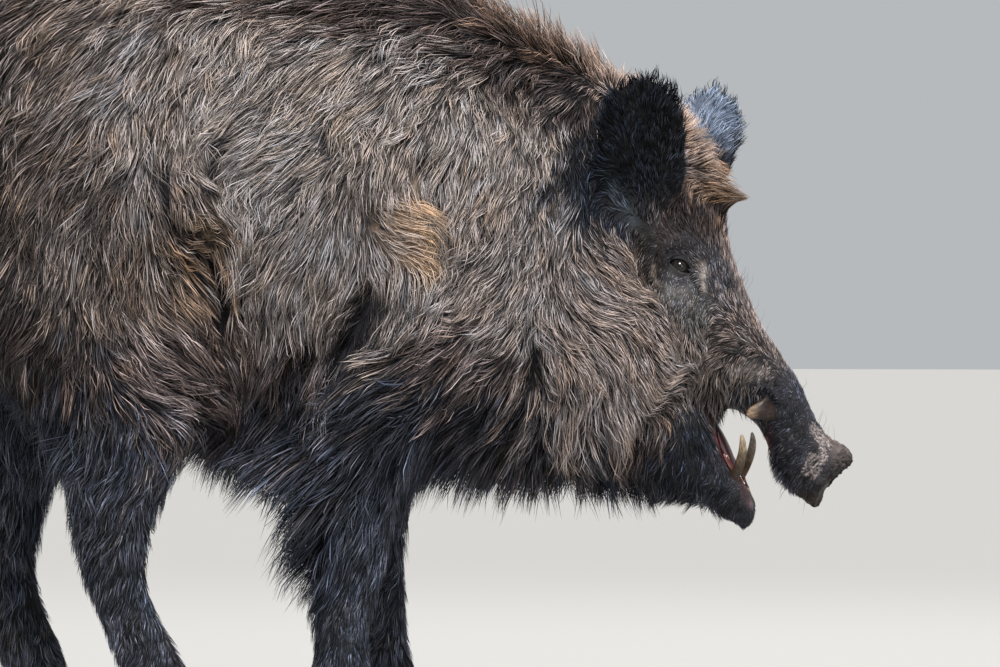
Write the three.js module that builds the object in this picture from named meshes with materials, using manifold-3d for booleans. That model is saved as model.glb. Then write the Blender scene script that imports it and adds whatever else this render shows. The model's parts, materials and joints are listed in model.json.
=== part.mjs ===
// Adult male wild boar in its winter coat, standing with its head low and its mouth open.
// Every solid reaches out to the tips of the coat. Millimetres: +X is forward, +Y is the
// animal's left, +Z is up, and the soles of the hooves stand on z = 0.

import * as THREE from "three";
import { mergeVertices } from "three/addons/utils/BufferGeometryUtils.js";
import Module from "manifold-3d";

const wasm = await Module();
wasm.setup();

const MANE_HEIGHT = 985; // floor to the tips of the mane, at the top of the arched back
const BELLY_HEIGHT = 326; // floor to the tips of the belly fringe
const BARREL_HALF = 222; // half the width of the rib cage, coat included
const RUMP_X = -172; // hindmost point of the rump
const DISC_X = 1008; // foremost point of the nose disc
const LEG_SIDE = 112; // midline to the axis of each leg, at the foot
const SOLE_HEIGHT = 38; // height of a hoof wall
const EYE_RADIUS = 12.5;
const EAR_LENGTH = 176;
const EAR_HALF = 56; // half the width of an ear, fringe included
const GAP = 0.3; // air left between touching pieces
const AIR = 0.45; // how far a piece is swollen to make its room, which leaves about the gap
const SHARPEST = 0.3; // keeps the swelling of a knife edge within a few times the air
const FLATNESS = 0.15; // slivers left by a cut are merged where the surface moves less than this

const COAT = { color: 0x6b6055, roughness: 0.95, metalness: 0 };
const DARK_COAT = { color: 0x24242a, roughness: 0.95, metalness: 0 };
const HIDE = { color: 0x4a4441, roughness: 0.6, metalness: 0 };
const MOUTH = { color: 0x7a2c2a, roughness: 0.4, metalness: 0 };
const IVORY = { color: 0xb08a4e, roughness: 0.35, metalness: 0 };
const HORN = { color: 0x2a2522, roughness: 0.55, metalness: 0 };
const EYE = { color: 0x160e0a, roughness: 0.08, metalness: 0 };

// ---- shared construction ----

// A geometry as a solid, with its shared vertices merged and its faces turned outwards.
function solid(geometry) {
  const bare = geometry.clone();
  bare.deleteAttribute("normal");
  bare.deleteAttribute("uv");
  const merged = mergeVertices(bare, 1e-4);
  const vertProperties = merged.attributes.position.array;
  const triVerts = new Uint32Array(merged.index.array);
  const made = new wasm.Manifold(new wasm.Mesh({ numProp: 3, vertProperties, triVerts }));
  if (made.volume() > 0) return made;
  for (let i = 0; i < triVerts.length; i += 3) {
    [triVerts[i + 1], triVerts[i + 2]] = [triVerts[i + 2], triVerts[i + 1]];
  }
  return new wasm.Manifold(new wasm.Mesh({ numProp: 3, vertProperties, triVerts }));
}

// A solid as a geometry.
function geometryOf(body) {
  const mesh = body.getMesh();
  const geometry = new THREE.BufferGeometry();
  geometry.setAttribute("position", new THREE.BufferAttribute(mesh.vertProperties, 3));
  geometry.setIndex(new THREE.BufferAttribute(mesh.triVerts, 1));
  return geometry;
}

// The room a piece takes out of its neighbour: the piece itself, swollen so that each of its
// faces moves out by at least the air, at sharp edges too.
function roomFor(body) {
  const geometry = geometryOf(body);
  const { position } = geometry.attributes;
  const corners = Array.from({ length: position.count }, () => []);
  const face = new THREE.Triangle();
  for (let i = 0; i < geometry.index.count; i += 3) {
    const [a, b, c] = geometry.index.array.slice(i, i + 3);
    face.setFromAttributeAndIndices(position, a, b, c);
    const normal = face.getNormal(new THREE.Vector3());
    for (const corner of [a, b, c]) corners[corner].push(normal);
  }
  corners.forEach((normals, i) => {
    const out = normals.reduce((sum, normal) => sum.add(normal), new THREE.Vector3()).normalize();
    const least = Math.min(...normals.map((normal) => normal.dot(out)));
    const at = new THREE.Vector3().fromBufferAttribute(position, i);
    at.addScaledVector(out, AIR / Math.max(least, SHARPEST));
    position.setXYZ(i, at.x, at.y, at.z);
  });
  return solid(geometry);
}

// The largest piece of a solid, without the slivers that a cut can leave.
function mainPiece(body) {
  const pieces = body.decompose();
  return pieces.reduce((best, piece) => (piece.volume() > best.volume() ? piece : best));
}

// Splits a solid across the plane through a point [x, z] and a second point [x, z] of the side
// view, and returns the piece ahead of (or below) the line and the piece behind (or above) it.
function part(body, [x1, z1], [x2, z2]) {
  const across = new THREE.Vector3(z1 - z2, 0, x2 - x1).normalize();
  const offset = across.x * x1 + across.z * z1;
  const ahead = body.trimByPlane(across.toArray(), offset + GAP / 2);
  const behind = body.trimByPlane(across.clone().negate().toArray(), -offset + GAP / 2);
  return [ahead, behind];
}

// Lofts a closed body through sections. A section lies across the line from point a to point b
// of the side view, is widest at the share `level` of that line, bulges `half` to each side of
// `side`, and is rounded by the exponents `crest` (towards a) and `keel` (towards b).
const SECTION = { half: 10, level: 0.5, crest: 2, keel: 2, side: 0 };

function sectionPoint(s, angle) {
  const reach = Math.cos(angle);
  const out = Math.sin(angle);
  const power = reach > 0 ? s.crest : s.keel;
  const along = Math.abs(reach) ** (2 / power);
  const share = reach > 0 ? s.level * (1 - along) : s.level + (1 - s.level) * along;
  const x = s.ax + (s.bx - s.ax) * share;
  const z = s.az + (s.bz - s.az) * share;
  return [x, s.side + Math.sign(out) * s.half * Math.abs(out) ** (2 / power), z];
}

function smoothStations(rows, steps) {
  const full = rows.map(({ a, b, ...rest }) => {
    return { ax: a[0], az: a[1], bx: b[0], bz: b[1], ...SECTION, ...rest };
  });
  const keys = Object.keys(full[0]);
  const samples = full.flatMap((row) => keys.map((key) => row[key]));
  const spots = full.map((row, i) => i);
  const curve = new THREE.CubicInterpolant(spots, samples, keys.length);
  const rings = [];
  for (let i = 0; i <= (rows.length - 1) * steps; i++) {
    const values = curve.evaluate(i / steps);
    rings.push(Object.fromEntries(keys.map((key, k) => [key, values[k]])));
  }
  return rings;
}

// Joins rings of points into one closed body, with a fan over each end.
function joinRings(rings) {
  const around = rings[0].length;
  const middle = (ring) => [0, 1, 2].map((k) => ring.reduce((sum, p) => sum + p[k], 0) / around);
  const first = rings.length * around;
  const points = [...rings.flat(), middle(rings[0]), middle(rings[rings.length - 1])];
  const faces = [];
  for (let j = 0; j < around; j++) {
    const k = (j + 1) % around;
    for (let i = 0; i < rings.length - 1; i++) {
      const low = i * around;
      const high = low + around;
      faces.push(low + j, low + k, high + j, low + k, high + k, high + j);
    }
    faces.push(first, k, j, first + 1, first - around + j, first - around + k);
  }
  const geometry = new THREE.BufferGeometry();
  geometry.setAttribute("position", new THREE.Float32BufferAttribute(points.flat(), 3));
  geometry.setIndex(faces);
  return solid(geometry);
}

function loft(rows, { around = 20, steps = 2 } = {}) {
  const angles = Array.from({ length: around }, (_, j) => (2 * Math.PI * j) / around);
  const rings = smoothStations(rows, steps);
  return joinRings(rings.map((ring) => angles.map((angle) => sectionPoint(ring, angle))));
}

function ball(radii, centre, turnY = 0, [around, rings] = [16, 10]) {
  const geometry = new THREE.SphereGeometry(1, around, rings);
  geometry.scale(...radii);
  geometry.rotateY(turnY);
  geometry.translate(...centre);
  return solid(geometry);
}

// ---- body: rump to nose disc in one loft, later parted into trunk, neck, head and snout ----

// Rump, barrel and shoulders under the arched mane; a is the back, b the belly fringe.
const TRUNK_ROWS = [
  { a: [RUMP_X + 4, 760], b: [RUMP_X + 8, 650], half: 26 },
  { a: [RUMP_X + 16, 828], b: [RUMP_X + 30, 550], half: 98 },
  { a: [RUMP_X + 62, 884], b: [RUMP_X + 74, 455], half: 146 },
  { a: [-20, 930], b: [-15, 400], half: 180, crest: 1.85 },
  { a: [100, 965], b: [100, 362], half: 206, crest: 1.8 },
  { a: [230, MANE_HEIGHT], b: [225, BELLY_HEIGHT + 8], half: BARREL_HALF, crest: 1.75 },
  { a: [355, MANE_HEIGHT - 3], b: [340, BELLY_HEIGHT - 2], half: BARREL_HALF, crest: 1.7 },
  { a: [476, 952], b: [455, 312], half: 221, crest: 1.7 },
];

// Thick neck, with the mane above and the dark throat fringe below.
const NECK_ROWS = [
  { a: [570, 911], b: [545, 302], half: 208, crest: 1.7 },
  { a: [645, 870], b: [620, 298], half: 188, crest: 1.7, level: 0.54 },
  { a: [705, 828], b: [680, 296], half: 170, crest: 1.75, level: 0.58 },
];

// Cranium and cheeks with their ruff of long hair, up to the brow.
const HEAD_ROWS = [
  { a: [762, 790], b: [722, 290], half: 152, crest: 1.75, level: 0.62 },
  { a: [815, 752], b: [752, 300], half: 132, crest: 1.6, level: 0.68 },
  { a: [846, 700], b: [777, 336], half: 111, crest: 1.55, level: 0.72 },
  { a: [862, 654], b: [792, 372], half: 97, crest: 1.65, level: 0.7 },
  { a: [866, 620], b: [805, 394], half: 87, crest: 1.8, level: 0.63 },
  { a: [871, 586], b: [822, 409], half: 77, crest: 2, level: 0.58 },
];

// Tuft of forehead hair that juts over the brow.
const TUFT_ROWS = [
  { a: [818, 745], b: [800, 700], half: 44 },
  { a: [862, 695], b: [836, 640], half: 42 },
  { a: [893, 647], b: [882, 634], half: 12 },
];

// Long snout with its muddy end, flaring into the disc.
const SNOUT_ROWS = [
  { a: [884, 547], b: [845, 416], half: 68, level: 0.56 },
  { a: [905, 502], b: [869, 398], half: 58, level: 0.56 },
  { a: [932, 460], b: [892, 385], half: 49, level: 0.56 },
  { a: [953, 425], b: [905, 368], half: 43 },
  { a: [969, 387], b: [916, 331], half: 38 },
  { a: [986, 365], b: [936, 303], half: 37 },
];

const DISC_ROWS = [
  { a: [DISC_X - 20, 363], b: [955, 299], half: 38 },
  { a: [DISC_X - 10, 363], b: [960, 288], half: 41 },
  { a: [DISC_X, 356], b: [966, 283], half: 40 },
  { a: [DISC_X - 2, 347], b: [971, 288], half: 34 },
];

const BODY_ROWS = [...TRUNK_ROWS, ...NECK_ROWS, ...HEAD_ROWS, ...SNOUT_ROWS, ...DISC_ROWS];
const body = loft(BODY_ROWS, { around: 20 }).add(loft(TUFT_ROWS, { around: 8 }));

const [ahead, trunkWhole] = part(body, [583, 905], [552, 302]);
const [aheadOfNeck, neckWhole] = part(ahead, [738, 806], [702, 292]);
const [aheadOfHead, headWhole] = part(aheadOfNeck, [878, 560], [832, 405]);
const [discWhole, snoutWhole] = part(aheadOfHead, [991, 363], [954, 299]);

// The nostrils are hollows in the disc.
const nostril = (sign) => ball([13, 7, 9], [DISC_X - 17, sign * 15, 321], 0.46, [8, 5]);
const disc = discWhole.subtract(nostril(-1)).subtract(nostril(1));

// ---- lower jaw, dropped open; a is the lip, b the chin's underside ----

const JAW_ROWS = [
  { a: [752, 470], b: [735, 298], half: 92 },
  { a: [800, 440], b: [778, 289], half: 80 },
  { a: [838, 416], b: [808, 285], half: 66 },
  { a: [857, 385], b: [836, 280], half: 54 },
  { a: [867, 350], b: [860, 272], half: 45 },
  { a: [883, 328], b: [877, 266], half: 37 },
  { a: [895, 298], b: [891, 263], half: 25 },
  { a: [898, 284], b: [896, 268], half: 10 },
];
const LIP_TILT = 1.17; // slope of the lower lip line, from level

const jawWhole = loft(JAW_ROWS, { around: 16 }).subtract(roomFor(body));
const trough = ball([50, 25, 17], [874, 0, 348], LIP_TILT, [12, 7]);
const jaw = mainPiece(jawWhole.subtract(trough));

// ---- mouth: tongue, and the gum with its teeth, in the trough of the jaw ----

const tongue = ball([42, 15, 8], [861, 0, 351], LIP_TILT, [12, 7]);

// A tooth stands on the gum at [x, y, z] and leans forward with the jaw.
function tooth([x, y, z], height, half) {
  const rows = [
    { a: [x - half, z - 3], b: [x + half, z - 5], side: y, half },
    { a: [x - half + 2, z + height / 2], b: [x + half + 2, z + height / 2 - 2], side: y, half },
    { a: [x + 3, z + height], b: [x + half + 3, z + height - 2], side: y, half: half / 2 },
  ];
  return loft(rows, { around: 5, steps: 1 });
}

function lowerTeeth() {
  const front = 891;
  const path = [
    new THREE.Vector3(864, -21, 352),
    new THREE.Vector3(880, -19, 324),
    new THREE.Vector3(front, 0, 302),
    new THREE.Vector3(880, 19, 324),
    new THREE.Vector3(864, 21, 352),
  ];
  const arch = new THREE.CatmullRomCurve3(path);
  const section = new THREE.Shape().absarc(0, 0, 4.5, 0, 2 * Math.PI);
  const tube = { extrudePath: arch, steps: 8, curveSegments: 2, bevelEnabled: false };
  let gum = solid(new THREE.ExtrudeGeometry(section, tube));
  const count = 7;
  for (let i = 0; i < count; i++) {
    const at = arch.getPointAt((i + 0.5) / count);
    const incisor = Math.abs(i - (count - 1) / 2) < 2;
    gum = gum.add(tooth([at.x, at.y, at.z + 2], incisor ? 11 : 7, incisor ? 2.6 : 3.4));
  }
  return gum;
}


// ---- tusks ----

// Upper tusk: stout and worn, it leaves the lip outwards and back; a is its upper edge.
const UPPER_TUSK_ROWS = [
  { a: [950, 402], b: [951, 394], side: 25, half: 5 },
  { a: [932, 410], b: [934, 386], side: 35, half: 8 },
  { a: [920, 415], b: [925, 388], side: 46, half: 10 },
  { a: [908, 411], b: [912, 392], side: 57, half: 8 },
  { a: [899, 402], b: [901, 396], side: 63, half: 3 },
];

// Lower tusk: slim and curved, up and out of the lip; a is its front.
const LOWER_TUSK_ROWS = [
  { a: [873, 306], b: [869, 307], side: 21, half: 2 },
  { a: [881, 318], b: [869, 321], side: 26, half: 5 },
  { a: [889, 335], b: [876, 337], side: 33, half: 5.5 },
  { a: [893, 352], b: [882, 352], side: 40, half: 5 },
  { a: [892, 364], b: [884, 363], side: 45, half: 3.5 },
  { a: [888, 373], b: [885, 372], side: 47, half: 1 },
];

const onSide = (rows, sign) => rows.map((row) => ({ ...row, side: sign * row.side }));
const tusk = (rows, sign) => loft(onSide(rows, sign), { around: 8, steps: 1 });

// ---- eyes ----

const EYE_AT = [815, 66, 565];
const EYE_RADII = [EYE_RADIUS, EYE_RADIUS, EYE_RADIUS];

function eye(sign) {
  const [x, y, z] = EYE_AT;
  return ball(EYE_RADII, [x, sign * y, z], 0, [12, 8]);
}

// The hollow of the lids and brow in front of the eye.
function orbit(sign) {
  const [x, y, z] = EYE_AT;
  return ball([22, 16, 15], [x + 4, sign * (y + 17), z], 0.5, [10, 6]);
}

// ---- ears: a furred leaf, cupped towards the front and the side ----

// Rows from the base to the tip: share of the length, of the half width, cup, thickness.
const EAR_ROWS = [
  [0, 0.6, 16, 40],
  [0.2, 0.9, 20, 34],
  [0.45, 1, 18, 28],
  [0.7, 0.92, 13, 24],
  [0.88, 0.64, 7, 18],
  [1, 0.16, 2, 8],
];

// turn swings the opening forward, splay tips the ear outwards and lean tips it forward.
function ear(sign, [x, y, z], turn, splay, lean) {
  const around = 12;
  const angles = Array.from({ length: around }, (_, j) => (2 * Math.PI * j) / around);
  const place = new THREE.Matrix4().makeTranslation(x, y, z);
  place.multiply(new THREE.Matrix4().makeRotationY(lean));
  place.multiply(new THREE.Matrix4().makeRotationX(-splay));
  place.multiply(new THREE.Matrix4().makeRotationZ(-turn));
  const flat = EAR_ROWS.flatMap((row) => row);
  const curve = new THREE.CubicInterpolant(EAR_ROWS.map((_, i) => i), flat, 4);
  const rings = [];
  for (let i = 0; i <= (EAR_ROWS.length - 1) * 2; i++) {
    const [share, wide, cup, thick] = [...curve.evaluate(i / 2)];
    rings.push(
      angles.map((angle) => {
        const across = EAR_HALF * wide * Math.cos(angle);
        const deep = (thick / 2) * Math.sin(angle) - cup * Math.sin(angle) ** 2;
        const at = new THREE.Vector3(across, deep, EAR_LENGTH * share).applyMatrix4(place);
        return [at.x, sign * at.y, at.z];
      }),
    );
  }
  return mainPiece(joinRings(rings).subtract(roomFor(body)));
}

// ---- tail: hangs behind the rump and ends in a tuft ----

const TAIL_ROWS = [
  { a: [RUMP_X + 62, 800], b: [RUMP_X + 30, 850], half: 22 },
  { a: [RUMP_X + 14, 790], b: [RUMP_X - 14, 812], half: 20 },
  { a: [RUMP_X - 6, 735], b: [RUMP_X - 34, 742], half: 17 },
  { a: [RUMP_X - 14, 660], b: [RUMP_X - 37, 660], half: 13 },
  { a: [RUMP_X - 14, 590], b: [RUMP_X - 35, 590], half: 13 },
  { a: [RUMP_X - 10, 530], b: [RUMP_X - 40, 530], half: 18 },
  { a: [RUMP_X - 8, 480], b: [RUMP_X - 38, 480], half: 17 },
  { a: [RUMP_X - 18, 425], b: [RUMP_X - 28, 425], half: 5 },
];
const tail = mainPiece(loft(TAIL_ROWS, { around: 8, steps: 1 }).subtract(roomFor(body)));

// ---- legs ----

// Girth of a foreleg: height, then how far the coat reaches ahead of, behind and beside the axis,
// the axis' distance from the midline, the share where it is widest, and the rear's sharpness.
// Long hair trails behind the elbow.
const FORE_GIRTH = [
  [650, 45, 55, 24, 150, 0.5, 2],
  [560, 98, 97, 64, 158, 0.48, 2],
  [470, 118, 122, 80, 148, 0.45, 1.9],
  [400, 110, 130, 80, 140, 0.42, 1.7],
  [350, 82, 132, 70, 130, 0.38, 1.5],
  [300, 58, 138, 58, 123, 0.32, 1.4],
  [258, 50, 132, 48, 119, 0.3, 1.4],
  [223, 48, 94, 41, 116, 0.36, 1.5],
  [185, 45, 57, 37, 114, 0.45, 1.8],
  [130, 37, 40, 33, LEG_SIDE, 0.5, 2],
  [85, 36, 37, 35, LEG_SIDE, 0.5, 2],
  [58, 38, 38, 38, LEG_SIDE, 0.5, 2],
  [SOLE_HEIGHT + GAP, 36, 36, 38, LEG_SIDE, 0.5, 2],
];

// Girth of a hind leg, from the ham down over the hock.
const HIND_GIRTH = [
  [640, 70, 60, 24, 140, 0.5, 2],
  [560, 150, 150, 66, 136, 0.5, 2],
  [500, 160, 160, 76, 134, 0.5, 2],
  [440, 144, 144, 75, 133, 0.5, 2],
  [400, 122, 124, 69, 131, 0.48, 1.9],
  [363, 98, 102, 60, 129, 0.46, 1.8],
  [320, 80, 80, 49, 125, 0.45, 1.7],
  [281, 64, 66, 41, 121, 0.45, 1.7],
  [211, 47, 49, 35, 116, 0.46, 1.8],
  [164, 45, 47, 33, 113, 0.48, 1.9],
  [117, 46, 47, 33, LEG_SIDE, 0.5, 2],
  [85, 42, 44, 35, LEG_SIDE, 0.5, 2],
  [58, 40, 42, 38, LEG_SIDE, 0.5, 2],
  [SOLE_HEIGHT + GAP, 38, 40, 38, LEG_SIDE, 0.5, 2],
];

// Axis of each leg in the side view, as [height, x] from the sole up through fetlock, carpus or
// hock, and elbow or stifle. The right hind foot is stepped far forward under the belly.
const LEGS = [
  {
    name: "foreleg_right",
    sign: -1,
    axis: [[40, 436], [85, 428], [185, 436], [260, 450], [350, 462], [470, 504], [650, 505]],
    girth: FORE_GIRTH,
  },
  {
    name: "foreleg_left",
    sign: 1,
    axis: [[40, 447], [85, 438], [185, 424], [260, 416], [350, 440], [470, 498], [650, 505]],
    girth: FORE_GIRTH,
  },
  {
    name: "hindleg_right",
    sign: -1,
    axis: [[40, 231], [85, 210], [164, 172], [211, 156], [281, 158], [363, 172], [440, 135], [640, 30]],
    girth: HIND_GIRTH,
  },
  {
    name: "hindleg_left",
    sign: 1,
    axis: [[40, 22], [85, 5], [164, -23], [211, -35], [281, -36], [363, -20], [440, 0], [640, -20]],
    girth: HIND_GIRTH,
  },
];

function axisAt(axis, z) {
  const curve = new THREE.CubicInterpolant(axis.map((p) => p[0]), axis.map((p) => p[1]), 1);
  return curve.evaluate(THREE.MathUtils.clamp(z, axis[0][0], axis[axis.length - 1][0]))[0];
}

function wholeLeg({ sign, axis, girth }) {
  const rows = girth.map(([z, fore, aft, half, side, level, keel]) => {
    const x = axisAt(axis, z);
    return { a: [x + fore, z], b: [x - aft, z], half, level, keel, side: sign * side };
  });
  return loft(rows, { around: 12, steps: 1 });
}

// One half of the cloven hoof, on a flat sole.
function hoof(x, side) {
  const rows = [
    { a: [x + 54, 0], b: [x - 34, 0], half: 16.5, crest: 1.5, side },
    { a: [x + 53, 5], b: [x - 35, 5], half: 17.2, crest: 1.5, side },
    { a: [x + 36, SOLE_HEIGHT], b: [x - 33, SOLE_HEIGHT], half: 15.5, crest: 1.7, side },
  ];
  return loft(rows, { around: 10, steps: 1 });
}

// A dewclaw hangs behind the pastern, clear of the floor.
function dewclaw(x, side) {
  const rows = [
    { a: [x - 22, 76], b: [x - 46, 80], half: 8, side },
    { a: [x - 28, 60], b: [x - 52, 62], half: 10, side },
    { a: [x - 38, 42], b: [x - 58, 40], half: 8, side },
    { a: [x - 46, 33], b: [x - 58, 31], half: 4, side },
  ];
  return loft(rows, { around: 6, steps: 1 });
}

// ---- the animal, in nodes ----

const boar = new THREE.Group();

function add(name, piece, finish) {
  const tidy = piece.asOriginal().simplify(FLATNESS);
  const mesh = new THREE.Mesh(geometryOf(tidy), new THREE.MeshStandardMaterial(finish));
  mesh.name = name;
  boar.add(mesh);
}

const wholeLegs = LEGS.map(wholeLeg);
const legRooms = wholeLegs.map(roomFor);
const trunk = legRooms.reduce((rest, room) => rest.subtract(room), trunkWhole);

let head = headWhole;
let snout = snoutWhole;
let lowerJaw = jaw;
let teeth = lowerTeeth().subtract(roomFor(jaw)).subtract(roomFor(tongue));
for (const [name, sign] of [["right", -1], ["left", 1]]) {
  const eyeball = eye(sign);
  head = head.subtract(roomFor(eyeball)).subtract(orbit(sign));
  add(`eye_${name}`, eyeball, EYE);
  const upper = tusk(UPPER_TUSK_ROWS, sign);
  snout = snout.subtract(roomFor(upper));
  head = head.subtract(roomFor(upper));
  add(`tusk_upper_${name}`, upper, IVORY);
  const lower = tusk(LOWER_TUSK_ROWS, sign);
  lowerJaw = lowerJaw.subtract(roomFor(lower));
  teeth = teeth.subtract(roomFor(lower));
  add(`tusk_lower_${name}`, lower, IVORY);
}

add("trunk", mainPiece(trunk), COAT);
add("neck", mainPiece(legRooms.reduce((rest, room) => rest.subtract(room), neckWhole)), COAT);
add("head", mainPiece(head), COAT);
add("snout", mainPiece(snout), DARK_COAT);
add("nose_disc", disc, HIDE);
add("lower_jaw", mainPiece(lowerJaw), DARK_COAT);
add("tongue", mainPiece(tongue.subtract(roomFor(jaw)).subtract(roomFor(body))), MOUTH);
add("teeth_lower", mainPiece(teeth), MOUTH);
add("ear_right", ear(-1, [782, 84, 628], 0.35, 0.5, 0.02), DARK_COAT);
add("ear_left", ear(1, [790, 84, 622], 0.35, 0.42, 0.26), DARK_COAT);
add("tail", tail, DARK_COAT);

LEGS.forEach((leg, i) => {
  const hind = leg.name.startsWith("hind");
  const bend = hind ? 290 : 205;
  const top = hind ? 400 : 330;
  const [lowest, upper] = part(wholeLegs[i], [0, bend], [-1, bend]);
  const [middle, highest] = part(upper, [0, top], [-1, top]);
  add(`${leg.name}_upper`, mainPiece(highest), DARK_COAT);
  add(`${leg.name}_middle`, mainPiece(middle), DARK_COAT);
  add(`${leg.name}_foot`, mainPiece(lowest), DARK_COAT);
  const x = axisAt(leg.axis, SOLE_HEIGHT);
  for (const [digit, offset] of [["inner", -1], ["outer", 1]]) {
    const side = leg.sign * (LEG_SIDE + offset * 18.5);
    add(`hoof_${leg.name}_${digit}`, hoof(x, side), HORN);
    const claw = dewclaw(x, leg.sign * (LEG_SIDE + offset * 19));
    add(`dewclaw_${leg.name}_${digit}`, mainPiece(claw.subtract(roomFor(wholeLegs[i]))), HORN);
  }
});

// The origin is on the floor, under the middle of the animal.
const box = new THREE.Box3().setFromObject(boar);
boar.position.set(-(box.min.x + box.max.x) / 2, -(box.min.y + box.max.y) / 2, 0);

export default boar;
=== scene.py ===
"""A life-size wild boar in its winter coat: one skin, the coat over it, eyes, tusks, mouth and hooves."""

import json
import math

import bpy
import numpy as np
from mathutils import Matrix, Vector, kdtree
from mathutils.bvhtree import BVHTree

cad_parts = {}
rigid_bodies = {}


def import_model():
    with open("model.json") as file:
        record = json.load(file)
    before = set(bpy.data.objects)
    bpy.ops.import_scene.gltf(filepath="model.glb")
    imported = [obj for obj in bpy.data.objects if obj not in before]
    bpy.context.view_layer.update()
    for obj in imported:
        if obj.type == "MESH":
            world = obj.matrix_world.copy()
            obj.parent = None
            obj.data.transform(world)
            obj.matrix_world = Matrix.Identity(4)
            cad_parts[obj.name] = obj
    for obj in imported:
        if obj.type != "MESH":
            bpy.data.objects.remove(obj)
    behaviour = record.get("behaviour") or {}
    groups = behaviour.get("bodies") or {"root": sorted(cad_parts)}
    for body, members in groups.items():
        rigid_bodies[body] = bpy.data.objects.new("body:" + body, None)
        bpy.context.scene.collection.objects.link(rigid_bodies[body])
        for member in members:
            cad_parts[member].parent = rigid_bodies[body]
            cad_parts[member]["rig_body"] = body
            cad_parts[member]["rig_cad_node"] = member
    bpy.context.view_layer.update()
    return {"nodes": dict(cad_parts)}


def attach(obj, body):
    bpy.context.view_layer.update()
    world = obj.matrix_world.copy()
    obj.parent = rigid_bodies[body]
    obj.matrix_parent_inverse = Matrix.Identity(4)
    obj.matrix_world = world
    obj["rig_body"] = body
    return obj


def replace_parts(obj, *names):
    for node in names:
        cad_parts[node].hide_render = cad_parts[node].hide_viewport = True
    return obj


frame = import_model()

# ---- camera ----
# A long lens, level with the shoulder, on the right side and a little ahead of the animal.

camera_data = bpy.data.cameras.new("camera")
camera_data.lens = 215
camera_data.sensor_width = 36
camera_data.clip_end = 60
camera = bpy.data.objects.new("camera", camera_data)
bpy.context.scene.collection.objects.link(camera)
aim = Vector((0.197, 0, 0.488))
azimuth = math.radians(10)
distance = 7
camera.location = (aim.x + distance * math.sin(azimuth), -distance * math.cos(azimuth), 0.55)
camera.rotation_euler = (aim - camera.location).to_track_quat("-Z", "Y").to_euler()
bpy.context.scene.camera = camera


# ---- skin ----
# The hide is one sheet over trunk, head, ears, tail and legs. It is made from the merged
# flesh, remeshed without seams and pressed in by the depth of the coat.

LEGS = ["foreleg_right", "foreleg_left", "hindleg_right", "hindleg_left"]
FLESH = ["trunk", "neck", "head", "snout", "nose_disc", "lower_jaw", "tail", "ear_right", "ear_left"]
FLESH += [f"{leg}_{length}" for leg in LEGS for length in ("upper", "middle", "foot")]


def deselect():
    if bpy.context.object and bpy.context.object.mode != "OBJECT":
        bpy.ops.object.mode_set(mode="OBJECT")
    bpy.ops.object.select_all(action="DESELECT")


def pick(obj):
    deselect()
    obj.select_set(True)
    bpy.context.view_layer.objects.active = obj


def edit_whole(obj):
    """Opens edit mode with the whole mesh selected."""
    pick(obj)
    bpy.ops.object.mode_set(mode="EDIT")
    bpy.ops.mesh.select_all(action="SELECT")


def edit_only(obj, kind, chosen):
    """Opens edit mode with only the chosen vertices or faces selected."""
    pick(obj)
    bpy.ops.object.mode_set(mode="EDIT")
    bpy.ops.mesh.select_mode(type=kind)
    bpy.ops.mesh.select_all(action="DESELECT")
    bpy.ops.object.mode_set(mode="OBJECT")
    parts = obj.data.vertices if kind == "VERT" else obj.data.polygons
    parts.foreach_set("select", chosen)
    bpy.ops.object.mode_set(mode="EDIT")


def close_edit():
    bpy.ops.object.mode_set(mode="OBJECT")


def values_of(parts, name, width, kind=float):
    """One value of every vertex, edge or face of a mesh, as rows of an array."""
    values = np.empty(len(parts) * width, kind)
    parts.foreach_get(name, values)
    return values.reshape(-1, width)


def copy_of(nodes, name):
    """The CAD nodes' surfaces as one new object, with their loose triangles merged."""
    copies = []
    for node in nodes:
        copy = frame["nodes"][node].copy()
        copy.data = copy.data.copy()
        copy.parent = None
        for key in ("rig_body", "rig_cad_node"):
            if key in copy:
                del copy[key]
        bpy.context.scene.collection.objects.link(copy)
        copies.append(copy)
    deselect()
    for copy in copies:
        copy.select_set(True)
    bpy.context.view_layer.objects.active = copies[0]
    if len(copies) > 1:
        bpy.ops.object.join()
    joined = bpy.context.object
    joined.name = name
    joined.data.name = name
    edit_whole(joined)
    bpy.ops.mesh.remove_doubles(threshold=1e-5)
    bpy.ops.mesh.normals_make_consistent(inside=False)
    close_edit()
    joined.data.materials.clear()
    return joined


def apply_all(obj):
    pick(obj)
    for modifier in list(obj.modifiers):
        bpy.ops.object.modifier_apply(modifier=modifier.name)


def points_of(obj):
    return values_of(obj.data.vertices, "co", 3)


def set_points(obj, co):
    obj.data.vertices.foreach_set("co", co.ravel())
    obj.data.update()


def fatten(obj, by):
    edit_whole(obj)
    bpy.ops.transform.shrink_fatten(value=by)
    close_edit()


# The ears are thin, so they get a little more flesh before the remesh.
BODY_SWELL, EAR_SWELL = 0.0005, 0.0028
skin = copy_of([node for node in FLESH if not node.startswith("ear")], "skin")
fatten(skin, BODY_SWELL)
ears = copy_of(["ear_right", "ear_left"], "ears")
fatten(ears, EAR_SWELL)
pick(skin)
ears.select_set(True)
bpy.ops.object.join()
# The hide of each foot reaches a little down over the hooves.
PASTERN_END, CUFF = 0.042, 0.013
co = points_of(skin)
co[:, 2] -= CUFF * (co[:, 2] < PASTERN_END)
set_points(skin, co)
remesh = skin.modifiers.new("remesh", "REMESH")
remesh.mode = "VOXEL"
remesh.voxel_size = 0.0094
apply_all(skin)


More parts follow.
